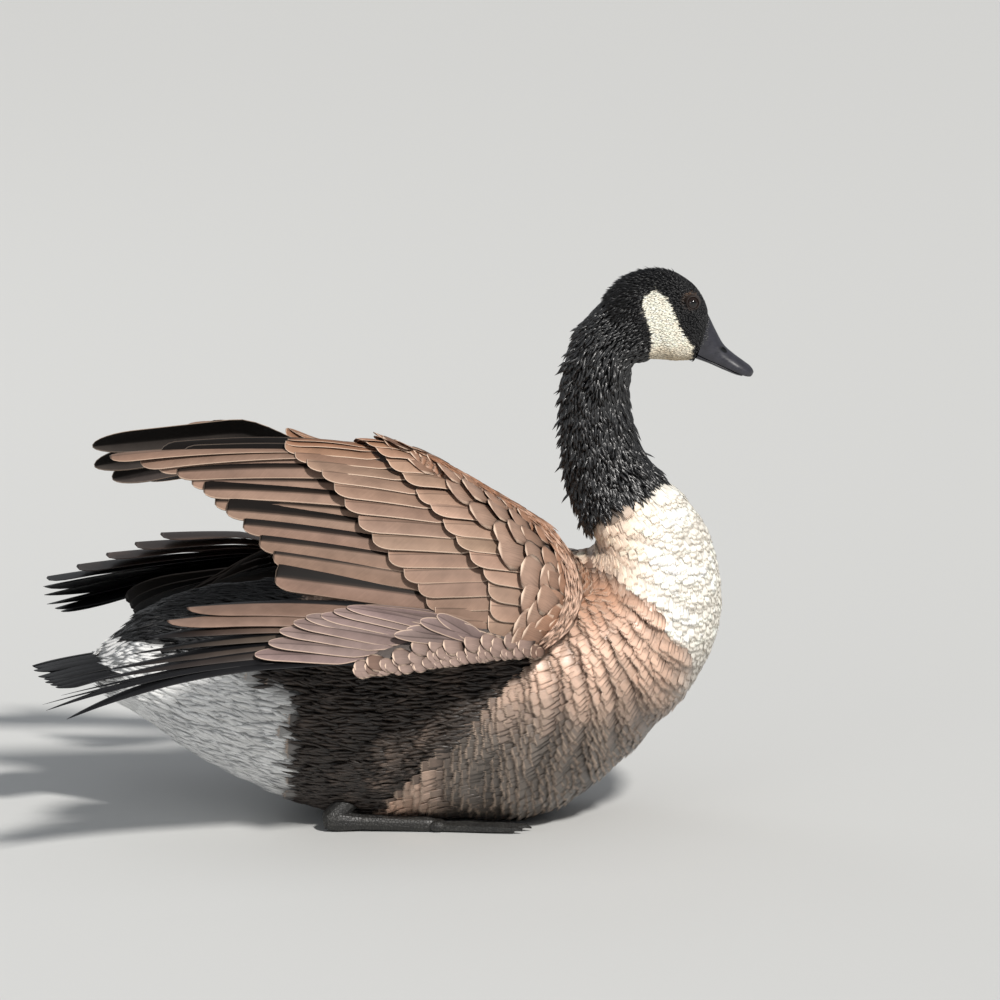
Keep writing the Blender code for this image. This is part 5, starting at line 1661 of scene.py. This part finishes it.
HAND_GREY = mix(COVERT_BROWN, PRIMARY_COVERT_GREY, 0.6)
LESSER_TIPS = (0.50, 0.39, 0.28, 0.18, 0.09, 0.02)
LESSER_COUNTS = (12, 13, 14, 16, 18, 20)
LESSER_LENGTHS = np.array([32, 29, 26, 22, 19, 16]) * MM
MARGIN_TIPS = (0.95, 0.70, 0.48, 0.28, 0.10)
MARGIN_COUNTS = (10, 13, 16, 19, 22)
MARGIN_LENGTHS = np.array([20, 17, 14, 12, 10]) * MM
for label, place, seed in (("right", right_place, 31), ("left", left_place, 41)):
    lesser, lesser_length = covert_rows(ARM_NET, LESSER_TIPS, LESSER_COUNTS, LESSER_LENGTHS, (0.01, 0.99), seed)
    margin, margin_length = covert_rows(
        HAND_NET, MARGIN_TIPS, MARGIN_COUNTS, MARGIN_LENGTHS, (0.0, 0.97), seed, 2 * MM, 0.75
    )
    length = np.concatenate([lesser_length, margin_length])
    width = length * np.repeat([0.98, 0.80], [len(lesser_length), len(margin_length)])
    height = length * np.repeat([0.07, 0.035], [len(lesser_length), len(margin_length)])
    form = Form(length, width, height, 0.13, 0.14, 0.6 * MM, 0.9, 0.10)
    plant("coat_coverts_" + label, placed(joined(lesser, margin), place), form, scales, dry_covert, seed)
    under = underside_roots(ARM_NET, ARM_THICKNESS, 30, 14, (0.02, 0.52, 0.48, 0.98))
    under_hand = underside_roots(HAND_NET, HAND_THICKNESS, 22, 6, (0.52, 0.52, 0.72, 0.98))
    arm = upper_arm_roots((0.76, 0.52, 0.98, 0.98))
    form = Form(16 * MM, 9 * MM, 1.4 * MM, 0.15, 0.08, 0.6 * MM, 0.3, 0.12)
    plant("coat_arm_" + label, placed(joined(under, under_hand, arm), place), form, combs, wet_tan, seed + 1)
    streaks = streak_roots((0.02, 0.52, 0.98, 0.98), seed)
    form = Form(22 * MM, 3.6 * MM, 1.2 * MM, 0.09, 0.10, 0.8 * MM, 0.4, 0.2)
    plant("coat_streaks_" + label, placed(streaks, place), form, locks, wet_tan, seed + 2)

# %% [markdown]
# ## Bill and eyes
# The bill is horn: two closed shells that meet on flat faces, with a nostril, a nail at the tip and a soft
# gloss. The eyeball is almost a sphere, so dark a brown that it looks black, under a clear wet cornea.

# %% Bill
UPPER_BILL = [
    (0.2070, 0.4060, 0.1980, 0.3772, 0.0130),
    (0.2132, 0.3930, 0.2050, 0.3735, 0.0119),
    (0.2188, 0.3832, 0.2120, 0.3702, 0.0111),
    (0.2262, 0.3762, 0.2200, 0.3664, 0.0105),
    (0.2345, 0.3700, 0.2290, 0.3622, 0.0101),
    (0.2395, 0.3662, 0.2352, 0.3592, 0.0086),
    (0.2416, 0.3634, 0.2396, 0.3580, 0.0050),
    (0.2426, 0.3612, 0.2414, 0.3585, 0.0018),
]
LOWER_BILL = [
    (0.19780, 0.3767, 0.1964, 0.3722, 0.0108),
    (0.2048, 0.3730, 0.2038, 0.3697, 0.0101),
    (0.2118, 0.3697, 0.2107, 0.3668, 0.0096),
    (0.2198, 0.3659, 0.2186, 0.3632, 0.0090),
    (0.2288, 0.3617, 0.2278, 0.3594, 0.0080),
    (0.2340, 0.3594, 0.2332, 0.3578, 0.0046),
]
BILL_FLAT = 0.35
NOSTRIL = (0.2185, 0.0085, 0.3802)
NOSTRIL_SLOPE = math.radians(40)
NOSTRIL_HALF = (3.6 * MM, 1.5 * MM)


def bill_points(stations, share, turn, up):
    back_x, back_z, belly_x, belly_z, half = spline(stations, share).T
    height = np.maximum(up * np.cos(turn), -BILL_FLAT)
    level = (height + BILL_FLAT) / (1 + BILL_FLAT)
    level = level if up > 0 else 1 - level
    x, z = belly_x + (back_x - belly_x) * level, belly_z + (back_z - belly_z) * level
    return np.stack([x, half * np.sin(turn), z], -1)


def carve_nostrils(points):
    x, y, z = NOSTRIL
    ahead, drop = points[:, 0] - x, points[:, 2] - z
    a = ahead * math.cos(NOSTRIL_SLOPE) - drop * math.sin(NOSTRIL_SLOPE)
    b = ahead * math.sin(NOSTRIL_SLOPE) + drop * math.cos(NOSTRIL_SLOPE)
    share = np.hypot(a / NOSTRIL_HALF[0], b / NOSTRIL_HALF[1])
    deep = 1.9 * MM * (1 - smooth_step(0.5, 1.05, share)) - 0.25 * MM * np.exp(-(((share - 1.3) / 0.22) ** 2))
    outside = smooth_step(3.5 * MM, 5.5 * MM, np.abs(points[:, 1]))
    points[:, 1] -= np.sign(points[:, 1]) * deep * outside
    # 1 in the nostril's opening, which the horn paints near black as painted shade
    return 1 - smooth_step(0.7, 1.1, share) * 1.0 * outside - (1 - outside)


def bill_half(name, stations, up, rings, around):
    share, turn = [
        g.ravel()
        for g in np.meshgrid(
            np.linspace(0, 1, rings), np.linspace(0, 2 * math.pi, around, endpoint=False), indexing="ij"
        )
    ]
    points = bill_points(stations, share, turn, up)
    pit = carve_nostrils(points) if up > 0 else 0 * share
    if up > 0:
        nail = smooth_step(0.80, 0.84, share) * smooth_step(-0.1, 0.5, np.cos(turn))
        points[:, 2] += 0.25 * MM * nail * (1 - smooth_step(0.95, 1.0, share))
    ends = np.array([points[:around].mean(0), points[-around:].mean(0)])
    obj = mesh_object(name, np.concatenate([points, ends]), tube_faces(rings, around), bill_horn)
    store(obj.data, "pit", "FLOAT", np.concatenate([pit, [0, 0]]))
    face_outwards(obj)
    obj.data.shade_smooth()
    obj.data.set_sharp_from_angle(angle=math.radians(42))
    pieces.append(obj)
    return obj


def horn_material():
    """Dark horn: smooth and slightly oily, patchy in tone, with fine growth lines."""
    made, tree, shader = new_material("black_bill_horn", 0.30)
    place = add(tree, "ShaderNodeTexCoord").outputs["Object"]
    lines = add(tree, "ShaderNodeMapping", {"Vector": place, "Scale": (120.0, 900.0, 900.0)}).outputs[0]
    lines = add(tree, "ShaderNodeTexNoise", {"Vector": lines, "Scale": 1.0, "Detail": 3.0}).outputs["Fac"]
    cloud = add(tree, "ShaderNodeTexNoise", {"Vector": place, "Scale": 160.0, "Detail": 4.0}).outputs["Fac"]
    dark, light = (*linear("#1b1b1f"), 1), (*linear("#3a3a42"), 1)
    tone = add(tree, "ShaderNodeMix", {0: cloud, 6: dark, 7: light}, data_type="RGBA")
    pit = add(tree, "ShaderNodeAttribute", attribute_name="pit").outputs["Fac"]
    # painted shade: the nostril's hole is painted near black
    dark = add(tree, "ShaderNodeMapRange", {"Value": pit, 1: 0.1, 2: 0.6, 3: 1.0, 4: 0.08}).outputs[0]
    shade = add(tree, "ShaderNodeVectorMath", {0: tone.outputs[2], "Scale": dark}, operation="SCALE").outputs[0]
    tree.links.new(shade, shader.inputs["Base Color"])
    gloss = add(tree, "ShaderNodeMapRange", {"Value": lines, 1: 0.3, 2: 0.7, 3: 0.24, 4: 0.42}).outputs[0]
    tree.links.new(gloss, shader.inputs["Roughness"])
    bump = add(tree, "ShaderNodeBump", {"Height": lines, "Strength": 0.3, "Distance": 0.15 * MM}).outputs[0]
    tree.links.new(bump, shader.inputs["Normal"])
    return made


bill_horn = horn_material()
upper_bill = bill_half("bill_upper_horn", UPPER_BILL, 1, 90, 84)
lower_bill = bill_half("bill_lower_horn", LOWER_BILL, -1, 50, 56)
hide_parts("bill_upper")
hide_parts("bill_lower")


def feathers_on_horn():
    """Short feathers creep forward over the base of the bill, further at its sides."""
    share, turn = [g.ravel() for g in np.meshgrid(np.linspace(0, 0.42, 30), np.linspace(0, 2 * math.pi, 90))]
    share = np.clip(share + np.random.default_rng(5).uniform(-0.006, 0.006, len(share)), 0, 1)
    step = 0.01
    point = bill_points(UPPER_BILL, share, turn, 1)
    along = bill_points(UPPER_BILL, share + step, turn, 1) - bill_points(UPPER_BILL, np.maximum(share - step, 0), turn, 1)
    round_ = bill_points(UPPER_BILL, share, turn + step, 1) - bill_points(UPPER_BILL, share, turn - step, 1)
    up = unit(np.cross(round_, along))
    up *= np.sign(up[:, 1] * point[:, 1] + 1e-4 * up[:, 2])[:, None]
    unwrap = np.c_[share * 2, turn / (2 * math.pi)] * 0.96 + 0.02
    roots = Roots(point - up * 0.4 * MM, up, -unit(along), unwrap, np.repeat(BLACK[None], len(share), 0))
    covered = (behind_bill_edge(point) > 1.0 * MM) & (np.cos(turn) > -BILL_FLAT)
    return keep(roots, covered)


lore_form = Form(3.2 * MM, 1.3 * MM, 0.5 * MM, 0.14, 0.25, 0.2 * MM, 0.0, 0.25)
plant("coat_lores", feathers_on_horn(), lore_form, naps, wet_black, 61)
print("bill:", len(upper_bill.data.polygons) + len(lower_bill.data.polygons), "faces")


# %% Eyes
def eye_material():
    """A wet ball: near-black pupil, dark brown iris with radial threads, and a clear coat for the cornea."""
    made, tree, shader = new_material("dark_brown_eye", 0.10, Specular_IOR_Level=0.1)
    shader.inputs["Coat Weight"].default_value = 1.0
    shader.inputs["Coat Roughness"].default_value = 0.02
    shader.inputs["IOR"].default_value = 1.38
    out = add(tree, "ShaderNodeAttribute", attribute_name="out").outputs["Fac"]
    round_ = add(tree, "ShaderNodeAttribute", attribute_name="round").outputs["Vector"]
    threads = add(tree, "ShaderNodeTexNoise", {"Vector": round_, "Scale": 9.0, "Detail": 3.0}).outputs["Fac"]
    iris = add(tree, "ShaderNodeMix", {0: threads}, data_type="RGBA")
    iris.inputs[6].default_value = (*linear("#0d0705"), 1)
    iris.inputs[7].default_value = (*linear("#24150e"), 1)
    pupil = add(tree, "ShaderNodeMapRange", {"Value": out, 1: 2.1 * MM, 2: 2.5 * MM}).outputs[0]
    seen = add(tree, "ShaderNodeMix", {0: pupil, 7: iris.outputs[2]}, data_type="RGBA")
    seen.inputs[6].default_value = (0.002, 0.002, 0.002, 1)
    tree.links.new(seen.outputs[2], shader.inputs["Base Color"])
    return made


def build_eye(label, side, material, rings=40, around=56):
    centre, outward, forward, up = eye_axes(side)
    level, turn = [
        g.ravel()
        for g in np.meshgrid(
            np.linspace(0.03, math.pi - 0.03, rings),
            np.linspace(0, 2 * math.pi, around, endpoint=False),
            indexing="ij",
        )
    ]
    radius = EYE_RADIUS + 0.35 * MM * np.exp(-((level / 0.45) ** 2))
    radial = np.cos(turn)[:, None] * forward + np.sin(turn)[:, None] * up
    points = centre + radius[:, None] * (np.cos(level)[:, None] * outward + np.sin(level)[:, None] * radial)
    ends = np.array([centre + outward * radius.max(), centre - outward * EYE_RADIUS])
    obj = mesh_object("eyeball_" + label, np.concatenate([points, ends]), tube_faces(rings, around), material)
    out = np.concatenate([radius * np.sin(level) + 20 * MM * (level > math.pi / 2), [0, 20 * MM]])
    store(obj.data, "out", "FLOAT", out)
    wheel = np.stack([np.cos(turn), np.sin(turn), 0 * turn], -1)
    store(obj.data, "round", "FLOAT_VECTOR", np.concatenate([wheel, np.zeros((2, 3))]))
    face_outwards(obj)
    obj.data.shade_smooth()
    pieces.append(obj)
    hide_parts("eye_" + label)
    return obj


eye_brown = eye_material()
for label, side in (("right", -1), ("left", 1)):
    build_eye(label, side, eye_brown)
print("eyes:", round(2 * EYE_RADIUS / MM, 1), "mm across")

# %% [markdown]
# ## Colour of the skin
# The skin shows only between feathers, where the real bird has grey down. It carries the same markings as the
# coat, darker. Round the eye it is bare: the thin wrinkled brown lid.


# %% Skin colour and material
def colour_skin():
    mesh = skin.data
    points = places_of(skin)
    u, turn = [np.empty(len(points), np.float32) for _ in range(2)]
    mesh.attributes["station"].data.foreach_get("value", u)
    mesh.attributes["turn"].data.foreach_get("value", turn)
    tint = trunk_tint(points, u, turn)
    tint *= np.where(tint.min(1) > 0.5, 0.85, 0.5)[:, None]
    off_trunk = np.linalg.norm(points - trunk_at(u, turn), axis=1) > 14 * MM
    tint[off_trunk] = UNDERWING * 0.8
    bare = np.zeros(len(points))
    for side in (-1, 1):
        radius, _, height = eye_distance(points, side)
        bare = np.maximum(bare, (1 - smooth_step(6.0 * MM, 6.8 * MM, radius)) * (height > -2 * MM))
    tint = mix(tint, LID, bare)
    store(mesh, "tint", "FLOAT_COLOR", tint)
    store(mesh, "bare", "FLOAT", bare)


def skin_material():
    made, tree, shader = new_material("bird_skin", 0.55)
    tint = add(tree, "ShaderNodeAttribute", attribute_name="tint").outputs["Color"]
    place = add(tree, "ShaderNodeTexCoord").outputs["Object"]
    down = add(tree, "ShaderNodeTexNoise", {"Vector": place, "Scale": 900.0, "Detail": 3.0}).outputs["Fac"]
    level = add(tree, "ShaderNodeMapRange", {"Value": down, 1: 0.3, 2: 0.7, 3: 0.75, 4: 1.2}).outputs[0]
    shade = add(tree, "ShaderNodeVectorMath", {0: tint, "Scale": level}, operation="SCALE").outputs[0]
    tree.links.new(shade, shader.inputs["Base Color"])
    bump = add(tree, "ShaderNodeBump", {"Height": down, "Strength": 0.5, "Distance": 0.3 * MM}).outputs[0]
    tree.links.new(bump, shader.inputs["Normal"])
    return made


colour_skin()
skin.data.materials.clear()
skin.data.materials.append(skin_material())
skin.data.shade_smooth()
print("skin coloured")

# %% Floor finish
made, tree, shader = new_material("pale_studio_floor", 0.75)
shader.inputs["Base Color"].default_value = (*linear("#cdcecd"), 1)
floor.data.materials.append(made)

# %% [markdown]
# ## Legs and feet
# The legs are folded under the belly and the webbed feet lie flat. Their skin is near-black leather with a
# net of small plates, and the solids of the part are shown as they are.


# %% Leg skin
def leg_material():
    made, tree, shader = new_material("black_leg_skin", 0.48)
    place = add(tree, "ShaderNodeTexCoord").outputs["Object"]
    plates = add(tree, "ShaderNodeTexVoronoi", {"Vector": place, "Scale": 1 / (2.6 * MM), "Randomness": 0.8})
    edges = add(
        tree,
        "ShaderNodeTexVoronoi",
        {"Vector": place, "Scale": 1 / (2.6 * MM), "Randomness": 0.8},
        feature="DISTANCE_TO_EDGE",
    ).outputs["Distance"]
    groove = add(tree, "ShaderNodeMapRange", {"Value": edges, 1: 0.02, 2: 0.16}).outputs[0]
    dust = add(tree, "ShaderNodeTexNoise", {"Vector": place, "Scale": 90.0, "Detail": 4.0}).outputs["Fac"]
    dark, light = (*linear("#17171a"), 1), (*linear("#34332f"), 1)
    tone = add(tree, "ShaderNodeMix", {0: dust, 6: dark, 7: light}, data_type="RGBA").outputs[2]
    each = add(tree, "ShaderNodeSeparateColor", {"Color": plates.outputs["Color"]}).outputs[0]
    each = add(tree, "ShaderNodeMapRange", {"Value": each, 3: 0.8, 4: 1.25}).outputs[0]
    level = add(tree, "ShaderNodeMapRange", {"Value": groove, 3: 0.45, 4: 1.0}).outputs[0]
    level = add(tree, "ShaderNodeMath", {0: level, 1: each}, operation="MULTIPLY").outputs[0]
    shade = add(tree, "ShaderNodeVectorMath", {0: tone, "Scale": level}, operation="SCALE").outputs[0]
    tree.links.new(shade, shader.inputs["Base Color"])
    bump = add(tree, "ShaderNodeBump", {"Height": groove, "Strength": 0.6, "Distance": 0.3 * MM}).outputs[0]
    tree.links.new(bump, shader.inputs["Normal"])
    return made


leg_skin = leg_material()
for node in ("leg_right", "leg_left", "foot_right", "foot_left"):
    limb = frame["nodes"][node].data
    limb.materials.clear()
    limb.materials.append(leg_skin)
print("leg skin on the legs and feet")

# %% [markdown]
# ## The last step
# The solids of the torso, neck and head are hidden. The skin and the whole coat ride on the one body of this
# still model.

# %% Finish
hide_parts("torso", "neck_lower", "neck_upper", "head")
for piece in [skin, *pieces]:
    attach(piece, "root")
